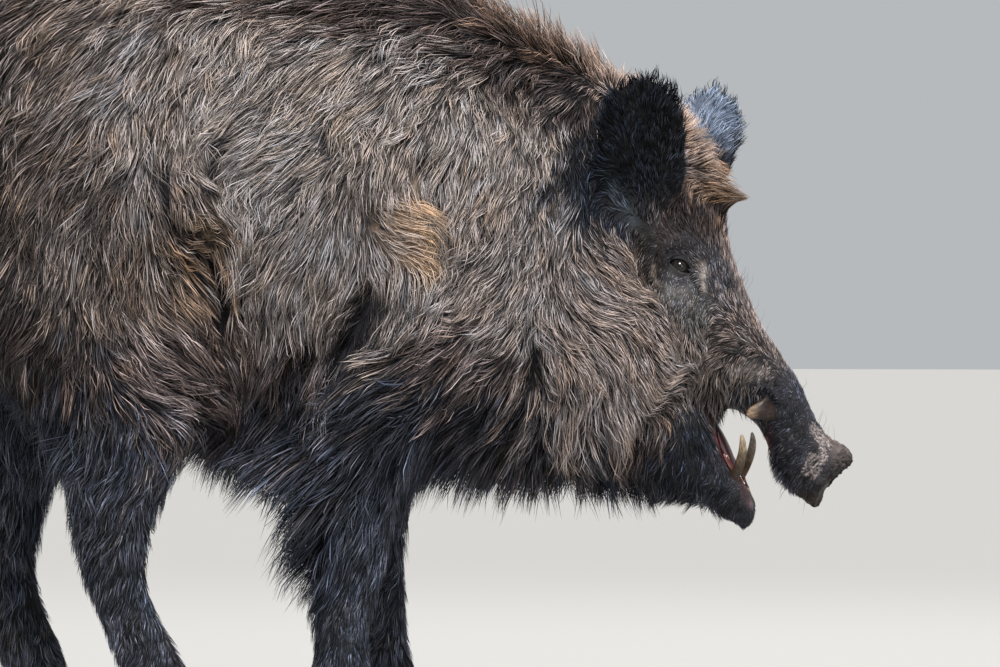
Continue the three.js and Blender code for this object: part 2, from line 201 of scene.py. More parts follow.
def keep_largest_island(obj):
    """Drops the small closed bubbles that a remesh leaves inside a body."""
    ends = values_of(obj.data.edges, "vertices", 2, int)
    island = np.arange(len(obj.data.vertices))
    while True:
        low = np.minimum(island[ends[:, 0]], island[ends[:, 1]])
        new = island.copy()
        np.minimum.at(new, ends[:, 0], low)
        np.minimum.at(new, ends[:, 1], low)
        new = new[new]
        if (new == island).all():
            break
        island = new
    names, counts = np.unique(island, return_counts=True)
    edit_only(obj, "VERT", island != names[counts.argmax()])
    bpy.ops.mesh.delete(type="VERT")
    close_edit()


keep_largest_island(skin)


def refine(obj, wanted):
    """Subdivides once the faces whose centres wanted() picks."""
    x, y, z = values_of(obj.data.polygons, "center", 3).T
    edit_only(obj, "FACE", wanted(x, np.abs(y), z))
    bpy.ops.mesh.subdivide(number_cuts=1)
    close_edit()


EYE = Vector((0.417, 0.066, 0.565))  # centre of the left eyeball
EYE_RADIUS = 0.0125

# The head and the ears get finer faces, the snout, the mouth and the eyes finer ones still, and
# the lids, the disc and the lip over the tusk the finest.
refine(skin, lambda x, y, z: (x > 0.37) | ((x > 0.28) & (z > 0.63) & (y > 0.06)))
refine(
    skin,
    lambda x, y, z: (x > 0.475)
    | (x > 0.447) & (z > 0.3) & (z < 0.52)
    | (x > 0.378) & (abs(z - 0.568) < 0.045) & (y > 0.04),
)
refine(
    skin,
    lambda x, y, z: ((x - EYE.x) ** 2 + (z - EYE.z) ** 2 < 0.02**2) & (y > 0.045)
    | (x > 0.592) & (z > 0.285) & (z < 0.35)
    | (abs(x - 0.508) < 0.034) & (abs(z - 0.428) < 0.022) & (y > 0.02),
)

# How the coat grows. Each row gives a place on the animal (forward, aside, up), the way the hair
# lies there, its length, how many degrees it stands off the hide, the depth from the hide out to
# the tips, and its tint. Millimetres; both sides are alike.
COMB = [
    # back and mane, from the tail to the crown
    ((-560, 0, 790), (-0.4, 0, -0.9), 52, 10, 16, "rump"),
    ((-505, 0, 875), (-0.85, 0, -0.5), 60, 12, 22, "rump"),
    ((-400, 0, 938), (-1, 0, -0.2), 90, 16, 34, "mane"),
    ((-270, 0, 968), (-1, 0, 0), 105, 21, 46, "mane"),
    ((-100, 0, 985), (-1, 0, 0.1), 115, 25, 54, "mane"),
    ((60, 0, 958), (-1, 0, 0.2), 112, 26, 52, "mane"),
    ((170, 0, 911), (-0.9, 0, 0.35), 104, 29, 46, "mane"),
    ((255, 0, 863), (-0.8, 0, 0.5), 72, 44, 36, "rust"),
    ((318, 0, 822), (-0.6, 0, 0.7), 50, 38, 24, "rust"),
    ((372, 0, 783), (0.2, 0, 0.4), 24, 58, 12, "crown"),
    ((420, 0, 738), (0.5, 0, 0.4), 22, 64, 10, "crown"),
    ((438, 0, 710), (0.7, 0, 0.2), 22, 64, 10, "crown"),
    ((449, 0, 688), (0.9, 0, -0.1), 26, 58, 10, "crown"),
    ((457, 0, 668), (0.92, 0, -0.35), 44, 46, 11, "golden"),
    ((463, 0, 650), (0.98, 0, -0.05), 58, 44, 11, "golden"),
    ((465, 0, 636), (0.9, 0, 0.4), 44, 44, 10, "golden"),
    ((464, 0, 620), (0.7, 0, 0.6), 20, 28, 8, "brow"),
    ((455, 28, 656), (0.9, -0.3, -0.05), 32, 38, 10, "golden"),
    ((430, 45, 700), (0.75, -0.3, 0.1), 20, 46, 9, "crown"),
    ((395, 62, 742), (0.6, -0.35, 0.3), 20, 44, 9, "crown"),
    # upper sides, under the mane
    ((-490, 70, 815), (-0.5, 0.1, -0.85), 57, 12, 18, "rump"),
    ((-400, 105, 880), (-0.6, 0.1, -0.75), 64, 13, 24, "saddle"),
    ((-270, 115, 910), (-0.65, 0.1, -0.75), 80, 15, 28, "ash"),
    ((-100, 120, 928), (-0.75, 0.1, -0.65), 86, 17, 32, "mane"),
    ((60, 125, 905), (-0.75, 0.1, -0.65), 86, 18, 32, "mane"),
    ((170, 115, 855), (-0.7, 0.1, -0.65), 78, 18, 28, "mane"),
    ((250, 105, 812), (-0.5, 0.1, -0.7), 58, 18, 22, "mane"),
    ((312, 90, 772), (-0.4, 0.2, -0.8), 42, 14, 15, "dark"),
    # sides at the height of the withers
    ((-505, 110, 735), (-0.4, 0, -0.9), 55, 12, 18, "saddle"),
    ((-400, 150, 790), (-0.5, 0.1, -0.85), 60, 12, 20, "saddle"),
    ((-285, 172, 810), (-0.45, 0.1, -0.9), 60, 12, 20, "ash"),
    ((-190, 180, 815), (-0.4, 0.1, -0.9), 60, 12, 20, "agouti"),
    ((-100, 182, 830), (-0.62, 0.1, -0.78), 60, 12, 20, "silver"),
    ((60, 185, 800), (-0.62, 0.1, -0.78), 59, 13, 20, "silver"),
    ((170, 170, 755), (-0.3, 0.1, -0.95), 54, 13, 19, "silver"),
    ((250, 150, 715), (-0.12, 0.1, -0.98), 47, 13, 18, "silver"),
    ((320, 122, 690), (0, 0.1, -1), 34, 13, 13, "black"),
    # the ridge of hair that turns down and forward behind the shoulder
    ((-164, 200, 715), (0.12, 0, -1), 56, 14, 20, "agouti"),
    ((-146, 213, 640), (0.3, 0, -0.95), 56, 15, 20, "ash"),
    ((-112, 214, 585), (0.75, 0, -0.65), 58, 17, 20, "ochre"),
    # widest part of the barrel, shoulder and neck
    ((-548, 60, 680), (-0.2, 0, -1), 55, 12, 16, "rump"),
    ((-495, 125, 615), (-0.3, 0, -0.95), 55, 12, 18, "saddle"),
    ((-400, 185, 650), (-0.4, 0, -0.9), 59, 12, 20, "saddle"),
    ((-270, 205, 650), (-0.4, 0, -0.92), 59, 12, 20, "ash"),
    ((-60, 208, 700), (-0.7, 0, -0.7), 59, 13, 20, "silver"),
    ((-40, 218, 570), (-0.45, 0, -0.9), 59, 13, 20, "agouti"),
    ((50, 218, 600), (-0.38, 0, -0.93), 57, 13, 20, "agouti"),
    ((190, 200, 640), (-0.3, 0, -0.95), 54, 14, 20, "agouti"),
    ((250, 185, 540), (-0.55, 0, -0.85), 49, 14, 19, "agouti"),
    ((298, 165, 605), (-0.05, 0, -1), 44, 14, 16, "agouti"),
    ((330, 148, 560), (0.5, 0.1, -0.85), 40, 14, 14, "cheek"),
    # lower sides, with the whorl in front of the stifle
    ((-480, 130, 500), (-0.2, 0, -1), 44, 12, 16, "saddle"),
    ((-400, 190, 500), (-0.3, 0, -0.95), 52, 12, 18, "saddle"),
    ((-330, 198, 470), (-0.28, 0, -0.95), 56, 12, 19, "saddle"),
    ((-244, 204, 560), (0.05, 0, -1), 58, 13, 20, "ash"),
    ((-184, 202, 450), (0.75, 0, -0.65), 58, 14, 21, "umber"),
    ((-148, 190, 412), (0.95, 0, -0.35), 58, 15, 24, "umber"),
    ((-95, 208, 460), (0.6, 0, -0.8), 58, 14, 22, "umber"),
    ((-6, 212, 450), (0, 0, -1), 60, 14, 22, "umber"),
    ((80, 215, 520), (-0.5, 0, -0.85), 59, 14, 21, "agouti"),
    ((200, 195, 455), (-0.85, 0, -0.5), 56, 14, 20, "umber"),
    ((322, 148, 455), (0.5, 0, -0.85), 52, 15, 19, "cheek"),
    ((350, 135, 500), (0.85, 0, -0.5), 42, 14, 15, "cheek"),
    ((-270, 150, 400), (-0.4, 0, -0.9), 72, 16, 26, "black"),
    ((-30, 180, 415), (-0.5, 0, -0.85), 74, 16, 28, "black"),
    ((80, 190, 425), (-0.9, 0, -0.4), 74, 15, 22, "black"),
    ((150, 180, 395), (-0.95, 0, -0.3), 70, 16, 24, "black"),
    ((245, 150, 385), (-0.5, 0, -0.85), 66, 18, 26, "black"),
    ((310, 126, 398), (0, 0, -1), 62, 17, 24, "cheek"),
    ((298, 110, 345), (-0.1, 0, -1), 64, 19, 28, "black"),
    # belly, brisket and throat
    ((-400, 60, 400), (-0.4, 0, -0.9), 56, 22, 26, "black"),
    ((-250, 0, 352), (-0.6, 0, -0.8), 74, 27, 34, "black"),
    ((-58, 0, 326), (-0.6, 0, -0.8), 82, 30, 40, "black"),
    ((60, 0, 312), (-0.6, 0, -0.8), 74, 30, 36, "black"),
    ((150, 0, 302), (-0.5, 0, -0.85), 80, 32, 40, "black"),
    ((150, 70, 310), (-0.5, 0, -0.85), 78, 30, 38, "black"),
    ((235, 0, 298), (-0.3, 0, -0.95), 80, 34, 40, "black"),
    ((235, 80, 315), (-0.3, 0, -0.95), 74, 30, 38, "throat"),
    ((305, 0, 292), (0, 0, -1), 66, 30, 34, "black"),
    # cheeks and jowl
    ((335, 133, 655), (0, 0.1, -1), 28, 12, 12, "black"),
    ((352, 128, 628), (0.1, 0.1, -1), 24, 12, 11, "black"),
    ((358, 125, 575), (0.8, 0.1, -0.55), 30, 13, 12, "cheek"),
    ((380, 114, 510), (0.8, 0.1, -0.55), 32, 14, 12, "cheek"),
    ((436, 88, 482), (0.5, 0, -0.85), 28, 14, 9, "cheek"),
    ((392, 108, 450), (0.35, 0, -0.95), 46, 16, 17, "cheek"),
    ((340, 132, 420), (0.1, 0, -1), 56, 16, 21, "cheek"),
    ((424, 84, 424), (0.85, 0, 0.1), 30, 14, 9, "cheek"),
    ((375, 92, 345), (0.05, 0, -1), 58, 18, 22, "jowl"),
    ((330, 60, 302), (0, 0, -1), 62, 26, 32, "black"),
    # brow, round the eye and down the bridge of the snout
    ((423, 78, 628), (-0.3, 0, 0.9), 15, 12, 7, "brow"),
    ((452, 40, 625), (-0.2, 0, 0.9), 14, 14, 7, "brow"),
    ((464, 0, 616), (-0.3, 0, 0.9), 12, 18, 7, "brow"),
    ((390, 92, 575), (-0.5, 0, -0.6), 14, 10, 6, "brow"),
    ((417, 74, 590), (-0.4, 0, 0.6), 8, 8, 5, "lid"),
    ((424, 78, 545), (-0.5, 0, -0.7), 9, 10, 4, "blue"),
    ((430, 76, 520), (-0.4, 0, -0.8), 11, 11, 4, "blue"),
    ((458, 50, 552), (-0.4, 0, 0.8), 9, 12, 4, "slate"),
    ((472, 0, 575), (-0.45, 0, 0.85), 9, 12, 4, "face"),
    ((507, 0, 500), (-0.5, 0, 0.8), 9, 12, 4, "face"),
    ((493, 52, 498), (-0.7, 0, 0.5), 12, 13, 4, "face"),
    ((476, 62, 478), (-0.8, 0, -0.3), 15, 14, 4, "face"),
    ((497, 56, 462), (-0.7, 0, -0.6), 16, 15, 4, "face"),
    ((490, 58, 447), (-0.3, 0, -1), 19, 19, 4, "pale"),
    ((468, 62, 425), (-0.1, 0, -1), 25, 18, 5, "pale"),
    ((462, 56, 402), (0.1, 0, -1), 28, 22, 5, "slate"),
    ((482, 52, 405), (0.1, 0, -1), 28, 22, 4, "slate"),
    ((500, 46, 402), (0, 0, -1), 18, 18, 3, "slate"),
    ((530, 0, 462), (-0.5, 0, 0.8), 8, 12, 3, "face"),
    ((550, 0, 430), (-0.5, 0, 0.8), 9, 12, 2.5, "muzzle"),
    ((532, 42, 412), (-0.6, 0, -0.6), 8, 12, 1, "muzzle"),
    ((550, 38, 375), (-0.75, 0, -0.6), 11, 14, 3, "muzzle"),
    ((560, 37, 345), (-0.75, 0, -0.6), 10, 15, 3, "muzzle"),
    ((530, 0, 335), (-0.6, 0, -0.8), 13, 32, 4, "muzzle"),
    ((573, 0, 387), (-0.5, 0, 0.8), 4, 10, 2, "muzzle"),
    ((590, 0, 366), (-0.5, 0, 0.8), 2, 8, 1, "mud"),
    ((605, 0, 320), (0, 0, -1), 0.5, 5, 0, "disc"),
    ((575, 0, 288), (0, 0, -1), 1, 5, 0, "disc"),
    # lower jaw
    ((434, 62, 345), (-0.1, 0, -1), 28, 13, 8, "black"),
    ((448, 52, 385), (-0.15, 0, -1), 20, 13, 6, "black"),
    ((420, 0, 287), (-0.5, 0, -0.8), 26, 26, 12, "black"),
    ((478, 36, 345), (-0.3, 0, -0.8), 9, 12, 3, "muzzle"),
    ((470, 30, 290), (-0.4, 0, -0.9), 12, 16, 3, "muzzle"),
    ((492, 10, 280), (-0.3, 0, -0.9), 6, 16, 1, "muzzle"),
    ((490, 18, 315), (-0.6, 0, -0.7), 5, 12, 1, "muzzle"),
    # tail
    ((-555, 0, 815), (-0.5, 0, -0.8), 29, 12, 8, "umber"),
    ((-590, 0, 735), (-0.2, 0, -1), 20, 12, 6, "umber"),
    ((-595, 0, 600), (0, 0, -1), 26, 12, 5, "black"),
    ((-595, 0, 500), (0, 0, -1), 62, 12, 9, "black"),
]

# Coat of a leg from the hoof up: height, lie, length, lift, depth.
FORELEG_COAT = [
    (45, (0.1, 0, -1), 13, 14, 2),
    (85, (-0.1, 0, -1), 17, 13, 2.5),
    (150, (-0.1, 0, -1), 20, 11, 7),
    (205, (-0.2, 0, -1), 26, 11, 8),
    (265, (-0.35, 0, -0.9), 36, 12, 10),
    (335, (-0.5, 0, -0.85), 48, 13, 13),
]
# Long hair behind the elbow: height, length, lift.
ELBOW_COAT = [(358, 98, 28), (322, 122, 40), (288, 128, 44), (252, 112, 42), (222, 76, 34), (196, 40, 20)]
HINDLEG_COAT = [
    (45, (0.1, 0, -1), 13, 14, 2),
    (85, (-0.1, 0, -1), 18, 13, 2.5),
    (160, (-0.2, 0, -1), 24, 12, 8),
    (215, (-0.2, 0, -1), 30, 12, 9),
    (285, (-0.25, 0, -1), 40, 13, 11),
    (365, (-0.3, 0, -1), 50, 13, 14),
    (430, (-0.35, 0, -1), 56, 13, 16),
]
# Middle of each leg: height and distance forward, from the fetlock to the elbow or the stifle.
LEG_AXES = {
    "foreleg_right": [(40, 38), (85, 30), (185, 38), (260, 52), (350, 64), (470, 106)],
    "foreleg_left": [(40, 49), (85, 40), (185, 26), (260, 18), (350, 42), (470, 100)],
    "hindleg_right": [
        (40, -167), (85, -188), (164, -226), (211, -242), (281, -240), (363, -226), (440, -263),
    ],
    "hindleg_left": [
        (40, -376), (85, -393), (164, -421), (211, -433), (281, -434), (363, -418), (440, -398),
    ],
}
LEG_SIDE = 116  # from the middle of the body to the middle of a leg
# Root of each ear, the way it points and the way its front edge lies.
EARS = {
    "ear_right": ((384, -84, 628), (0.02, -0.48, 0.88), (0.943, 0.301, 0.145)),
    "ear_left": ((392, 84, 622), (0.24, 0.41, 0.88), (0.943, -0.313, -0.106)),
}
# The inner face of each ear is black beyond this many metres from its middle line, and beyond
# this share of its length.
BLACK_RIM = {"ear_right": (0.034, 0.8), "ear_left": (0.07, 1.4)}
EAR_LENGTH = 176
# Half width of an ear at these shares of its length.
EAR_EDGE = ((0, 0.25, 0.6, 0.85, 1), (34, 48, 56, 42, 14))

# Tints: colour of the hair at its root and at its tip.
TINTS = {
    "agouti": ((26, 27, 33), (217, 205, 201)),
    "silver": ((56, 54, 58), (254, 240, 233)),
    "ash": ((21, 21, 27), (158, 144, 137)),
    "ochre": ((24, 20, 22), (168, 138, 112)),
    # saddle and rump are darker: partly the hindquarters' own darker hair, partly painted shade where
    # they turn from the light
    "saddle": ((16, 15, 20), (85, 76, 74)),
    "rump": ((16, 15, 18), (68, 61, 60)),
    "umber": ((18, 18, 24), (146, 131, 128)),
    "mane": ((15, 14, 18), (94, 82, 79)),
    "rust": ((22, 18, 18), (140, 114, 98)),
    "golden": ((40, 31, 29), (214, 180, 152)),
    "crown": ((40, 34, 33), (198, 174, 161)),
    "dark": ((17, 16, 20), (90, 81, 80)),
    "black": ((12, 13, 18), (60, 65, 77)),
    "throat": ((16, 15, 19), (84, 76, 77)),
    "leg": ((17, 18, 23), (98, 102, 115)),
    "cheek": ((20, 20, 24), (229, 210, 202)),
    "jowl": ((18, 16, 19), (88, 76, 72)),
    "brow": ((15, 13, 14), (64, 55, 54)),
    "lid": ((24, 23, 26), (66, 62, 66)),
    "blue": ((20, 20, 24), (166, 162, 163)),
    "slate": ((16, 16, 20), (84, 82, 87)),
    "ear": ((6, 7, 10), (22, 27, 36)),
    # inner face of the ears: pale hair, with painted light of the bluish sky behind them
    "inner_ear_backlit": ((78, 88, 106), (147, 161, 182)),
    "face": ((13, 12, 14), (135, 122, 118)),
    "pale": ((30, 27, 29), (226, 212, 205)),
    "muzzle": ((10, 11, 14), (82, 83, 94)),
    "mud": ((84, 75, 73), (122, 110, 106)),
    "disc": ((50, 40, 37), (50, 40, 37)),
}


def linear(colour):
    """A colour of 0 to 255 a channel, as linear light."""
    c = np.asarray(colour, float) / 255
    return np.where(c <= 0.04045, c / 12.92, ((c + 0.055) / 1.055) ** 2.4)


def side_of(name):
    """-1 for the animal's right, 1 for its left."""
    return 1 if name.endswith("left") else -1


def leg_middle(leg, height, scale=1000):
    """How far forward the middle of a leg is at a height: metres, or millimetres at scale 1."""
    heights, middles = np.array(LEG_AXES[leg], float).T / scale
    return np.interp(height, heights, middles)


def comb_rows():
    rows = []
    for (x, aside, z), lie, length, lift, depth, tint in COMB:
        for sign in (-1, 1) if aside else (1,):
            place = (x, sign * aside, z)
            rows.append((place, (lie[0], sign * lie[1], lie[2]), length, lift, depth, tint))
    for leg in LEGS:
        aside = side_of(leg) * LEG_SIDE
        coat = FORELEG_COAT if leg.startswith("fore") else HINDLEG_COAT
        for z, lie, length, lift, depth in coat:
            rows.append(((leg_middle(leg, z, 1), aside, z), lie, length, lift, depth, "leg"))
        for z, length, lift in ELBOW_COAT if leg.startswith("fore") else ():
            place = (leg_middle(leg, z, 1) - 55, aside, z)
            rows.append((place, (-0.9, 0, -0.42), length, lift, 10, "black"))
    for ear, (root, toward, across) in EARS.items():
        root, toward, across = (np.array(part, float) for part in (root, toward, across))
        for share, length in ((0.15, 15), (0.4, 17), (0.65, 19), (0.9, 24), (1.02, 28)):
            middle = root + toward * share * EAR_LENGTH
            rows.append((middle, toward, length, 15, 4.5, "ear"))
            for edge in (-1, 1):
                rim = middle + across * edge * np.interp(share, *EAR_EDGE)
                fringe = (7 if share > 0.5 else -2) + (8 if edge < 0 else 0)
                rows.append((rim, toward + across * edge * 0.8, length + fringe, 18, 4.5, "ear"))
    return rows


def comb_table():
    places, values = [], []
    for place, lie, length, lift, depth, tint in comb_rows():
        root, tip = TINTS[tint]
        lie = np.array(lie, float) / np.linalg.norm(lie)
        places.append(np.array(place) / 1000)
        values.append([*lie, length / 1000, lift, depth / 1000, *linear(root), *linear(tip)])
    return np.array(places), np.array(values)


comb_places, comb_values = comb_table()
# Columns of the comb's values.
LIE, LENGTH, LIFT, DEPTH = slice(0, 3), 3, 4, 5
ROOT, TIP, COLOURS = slice(6, 9), slice(9, 12), slice(6, 12)
AT_ONCE = 8000  # points blended at a time, which keeps the memory small


def coat_at(points):
    """Lie, length, lift, depth, root and tip colour of the coat at each point."""
    blended = np.empty((len(points), comb_values.shape[1]))
    for start in range(0, len(points), AT_ONCE):
        some = slice(start, start + AT_ONCE)
        apart = ((points[some, None] - comb_places) ** 2).sum(2)
        share = (apart + 0.016**2) ** -3
        blended[some] = share @ comb_values / share.sum(1)[:, None]
    return blended


class Sheet:
    """A mesh as arrays, with its triangles and edges, to press and to smooth it."""

    def __init__(self, obj):
        self.co = points_of(obj)
        obj.data.calc_loop_triangles()
        self.triangles = values_of(obj.data.loop_triangles, "vertices", 3, np.int32)
        self.ends = values_of(obj.data.edges, "vertices", 2, np.int32)
        self.valence = np.bincount(self.ends.ravel(), minlength=len(self.co))

    def normals(self):
        a, b, c = (self.co[self.triangles[:, k]] for k in range(3))
        face = np.cross(b - a, c - a)
        out = np.zeros_like(self.co)
        for k in range(3):
            for corner in range(3):
                out[:, k] += np.bincount(self.triangles[:, corner], face[:, k], len(self.co))
        return out / np.maximum(np.linalg.norm(out, axis=1), 1e-12)[:, None]

    def smoothed(self, values):
        """Each vertex's mean of its neighbours."""
        total = np.zeros_like(values)
        for k in range(values.shape[1]):
            for one, other in ((0, 1), (1, 0)):
                neighbour = values[self.ends[:, other], k]
                total[:, k] += np.bincount(self.ends[:, one], neighbour, len(values))
        return total / np.maximum(self.valence, 1)[:, None]

    def relax(self, share, times=1):
        for _ in range(times):
            self.co += (self.smoothed(self.co) - self.co) * share


def ease(low, high, value):
    """0 at low, 1 at high, smooth between and level beyond."""
    t = np.clip((value - low) / (high - low), 0, 1)
    return t * t * (3 - 2 * t)


def on_ears(points):
    """1 on the ears' free ends, 0 off the ears."""
    x, y, z = points.T
    return ease(0.67, 0.7, z) * ease(0.3, 0.33, x) * ease(0.1, 0.115, np.abs(y))


hide = Sheet(skin)
softly = (0.5 - 0.42 * on_ears(hide.co))[:, None]
hide.relax(softly, 4)

# The long hair behind the elbow has no flesh in it.
x, y, z = hide.co.T
for leg in ("foreleg_right", "foreleg_left"):
    behind = leg_middle(leg, z) - 0.034 - x
    on_leg = ease(0.17, 0.205, z) * (1 - ease(0.315, 0.36, z)) * (1 - ease(0.13, 0.16, behind))
    on_leg *= 1 - ease(0.055, 0.075, abs(y - side_of(leg) * 0.122))
    x += np.where(behind > 0, behind * 0.82 * on_leg, 0)
# Nor has the tuft of hair that juts over the brow.
brow = np.interp(z, (0.6, 0.623, 0.654, 0.7, 0.752), (0.47, 0.468, 0.462, 0.448, 0.417))
in_tuft = ease(0.59, 0.612, z) * (1 - ease(0.72, 0.75, z)) * ease(0.086, 0.07, np.abs(y))
x -= np.maximum(x - brow, 0) * 0.9 * in_tuft
hide.co = np.stack([x, y, z], 1)
hide.relax(softly, 3)


def thickness(sheet):
    """How thick the body is under each vertex."""
    tree = BVHTree.FromPolygons(sheet.co.tolist(), sheet.triangles.tolist())
    found = np.full(len(sheet.co), 1.0)
    for i, (at, out) in enumerate(zip(sheet.co, sheet.normals())):
        hit = tree.ray_cast(Vector(at - out * 0.0005), Vector(-out))
        if hit[3] is not None:
            found[i] = hit[3]
    return found


# The hide lies as deep under the solids' outline as the coat is thick, but never through the
# middle of a thin part. It is pressed in by small steps and smoothed after each.
DEEPEST = 0.3  # share of the body's thickness
STEPS = 14
depth = np.minimum(coat_at(hide.co)[:, DEPTH], thickness(hide) * DEEPEST)
# the lip stays full over the root of the upper tusk
x, y, z = hide.co.T
depth *= 1 - ease(0.024, 0.012, np.hypot(x - 0.533, z - 0.402)) * (np.abs(y) > 0.02)
for _ in range(6):
    depth = hide.smoothed(depth[:, None])[:, 0]
fine = ease(0.4, 0.44, hide.co[:, 0])
# neither the ears nor the feet may shrink, which would leave the claws bare
firm = np.maximum(on_ears(hide.co), ease(0.13, 0.1, hide.co[:, 2]))
for _ in range(STEPS):
    out = hide.normals()
    for _ in range(8):
        out = hide.smoothed(out)
    out /= np.maximum(np.linalg.norm(out, axis=1), 1e-9)[:, None]
    hide.co -= out * (depth / STEPS)[:, None]
    hide.relax((0.3 - 0.15 * fine - 0.13 * firm)[:, None])

# Eye sockets: the lids lie on the eyeball and open in an almond that slants down to the snout.
LID = 0.0013  # thickness of a lid's edge
OPENING = (0.0138, 0.0072, 0.006)  # half the length of the opening, its rise and its drop
SLANT = math.radians(-22)
LID_REACH, SOCKET = 0.02, 0.03  # the lids' own radius, and where they end in the cheek


def slanted(forward, upward):
    """Turned to the slant of the eye's opening: along it and across it."""
    along = forward * math.cos(SLANT) + upward * math.sin(SLANT)
    return along, upward * math.cos(SLANT) - forward * math.sin(SLANT)


def lay_lids(sheet, sign):
    """Lays the lids on one eyeball and gives that eye's axes: forward, up and out."""
    centre = np.array((EYE.x, sign * EYE.y, EYE.z))
    apart = sheet.co - centre
    reach = np.hypot(apart[:, 0], apart[:, 2])
    near = (reach < 0.034) & (apart[:, 1] * sign > -0.03)
    ring = near & (reach > 0.022) & (apart[:, 1] * sign > 0)
    out = sheet.normals()[ring].mean(0)
    out /= np.linalg.norm(out)
    forward = np.array((1, 0, 0)) - out * out[0]
    forward /= np.linalg.norm(forward)
    upward = np.cross(out, forward) * -sign
    if upward[2] < 0:
        upward = -upward
    frame_of_eye = np.stack([forward, upward, out])
    local = apart[near] @ frame_of_eye.T
    u, v, height = local.T
    round_eye = np.hypot(u, v)

    # The cheek and brow around the socket, as one gentle surface that spans it.
    edge = (round_eye > LID_REACH) & (round_eye < SOCKET) & (height > 0)
    terms = np.stack([np.ones_like(u), u, v, u * u, u * v, v * v], 1)
    fit = np.linalg.lstsq(terms[edge], height[edge], rcond=None)[0]
    cheek = terms @ fit

    lid_radius = EYE_RADIUS + LID
    lid = np.sqrt(np.maximum(lid_radius**2 - (0.86 * np.minimum(round_eye, lid_radius)) ** 2, 0))
    spread = ease(0.0085, LID_REACH, round_eye)
    laid = lid * (1 - spread) + (cheek - 0.0005) * spread
    along, across = slanted(u, v)
    half, rise, drop = OPENING
    arch = np.maximum(1 - (along / half) ** 2, 0) ** 0.75
    clear = np.where(across > 0, rise, drop) * arch - np.abs(across)
    laid -= ease(-0.0003, 0.0009, clear) * 0.016
    blend = 1 - ease(LID_REACH, SOCKET, round_eye)
    height += (laid - height) * blend
    sheet.co[near] = centre + np.stack([u, v, height], 1) @ frame_of_eye
    return frame_of_eye


eye_frames = {sign: lay_lids(hide, sign) for sign in (-1, 1)}


def to_path(points, path):
    """Distance to a path on the side view, how far along it, its length, and the way there."""
    flat = points[:, [0, 2]]
    path = np.array(path, float) / 1000
    best, along, offset = np.full(len(flat), 1.0), np.zeros(len(flat)), np.zeros((len(flat), 2))
    done = 0
    for start, end in zip(path[:-1], path[1:]):
        run = end - start
        length = np.linalg.norm(run)
        share = np.clip(((flat - start) @ run) / length**2, 0, 1)
        away = flat - (start + share[:, None] * run)
        apart = np.linalg.norm(away, axis=1)
        nearer = apart < best
        best = np.where(nearer, apart, best)
        along = np.where(nearer, done + share * length, along)
        offset = np.where(nearer[:, None], away, offset)
        done += length
    return best, along, done, offset


def bell(value, width):
    """1 at 0, falling softly to both sides."""
    return np.exp(-((value / width) ** 2))


def stroke(points, path, half):
    """A soft stroke along a path on the side view, 1 on the path and fading at its ends."""
    best, along, total, _ = to_path(points, path)
    fading = 0.22 * total
    fade = np.minimum(ease(0, fading, along + 0.0015), ease(0, fading, total - along + 0.0015))
    return bell(best, half / 1000) * fade


# Folds and creases of the face, on the side view: path, half width, and how far it stands
# out (or sinks in). Millimetres.
FOLDS = [
    # the lids' rims, the tear line from the inner corner, and the soft folds behind the eye
    ([(402, 567), (408, 576), (418, 580), (429, 577), (436, 565)], 1.8, 1.1),
    ([(404, 578), (413, 584), (425, 584), (437, 576)], 2.2, -1.3),
    ([(403, 561), (409, 553), (418, 548), (429, 546)], 2.2, 1.3),
    ([(400, 558), (405, 548), (416, 542), (428, 540)], 2, -1),
    ([(431, 560), (436, 552), (441, 544), (446, 533)], 2, -2.6),
    ([(440, 558), (446, 549), (449, 538)], 3, 1.4),
    ([(395, 570), (393, 560), (397, 548), (404, 540)], 2.2, 1.5),
    ([(390, 566), (388, 556), (392, 544), (400, 535)], 2, -1.2),
    ([(385, 562), (383, 552), (388, 540)], 2.4, 1.2),
    ([(398, 592), (415, 600), (438, 596), (452, 580)], 5, 2.2),
    # wrinkles that arch over the root of the tusk
    ([(460, 490), (478, 494), (495, 486), (512, 470), (524, 455)], 2.8, -2.8),
    ([(460, 482), (478, 486), (494, 479), (509, 464), (519, 452)], 2.4, 2.4),
    ([(463, 475), (479, 478), (493, 471), (506, 459)], 2.4, -2.6),
    ([(464, 467), (479, 470), (491, 464), (503, 453)], 2.4, 2.2),
    ([(467, 460), (480, 461), (491, 456), (500, 448)], 2.2, -2),
    # the raised lip: a smooth dark roll over the tusk, with a deep crease above it
    ([(484, 442), (497, 440), (511, 437), (523, 430)], 2.4, -2.6),
    ([(492, 431), (505, 433), (518, 428), (529, 418), (535, 404)], 3.6, 3.2),
    ([(500, 424), (511, 424), (521, 418), (527, 408), (529, 394)], 2.2, -2),
    # corner of the mouth and the cheek behind it
    ([(443, 424), (449, 415), (452, 404)], 3.5, 1.6),
    ([(437, 428), (428, 424), (418, 418)], 3, -1.5),
    ([(446, 440), (436, 446), (426, 440)], 3.5, 1.2),
    # furrow round the muzzle behind the disc, and the muzzle's own creases
    ([(597, 372), (588, 360), (577, 345), (566, 330), (560, 312)], 3, -1.8),
    ([(588, 386), (577, 372), (566, 356), (557, 340)], 4, 1.6),
    ([(560, 408), (556, 394), (548, 380)], 3, -0.9),
    ([(549, 398), (545, 384), (538, 371)], 3, -0.8),
    # lower lip
    ([(459, 398), (464, 378), (470, 358), (480, 338), (490, 318)], 2.6, 1.3),
    ([(452, 392), (457, 372), (463, 352), (472, 332)], 3, -1),
]


def press_folds(sheet):
    out = sheet.normals()
    lateral = ease(0.15, 0.45, np.abs(out[:, 1]))
    outer = np.abs(sheet.co[:, 1]) > 0.012
    for path, half, height in FOLDS:
        push = stroke(sheet.co, path, half) * lateral * outer * height / 1000
        sheet.co += out * push[:, None]
    sheet.relax((0.4 * ease(0.37, 0.4, sheet.co[:, 0]))[:, None])


press_folds(hide)

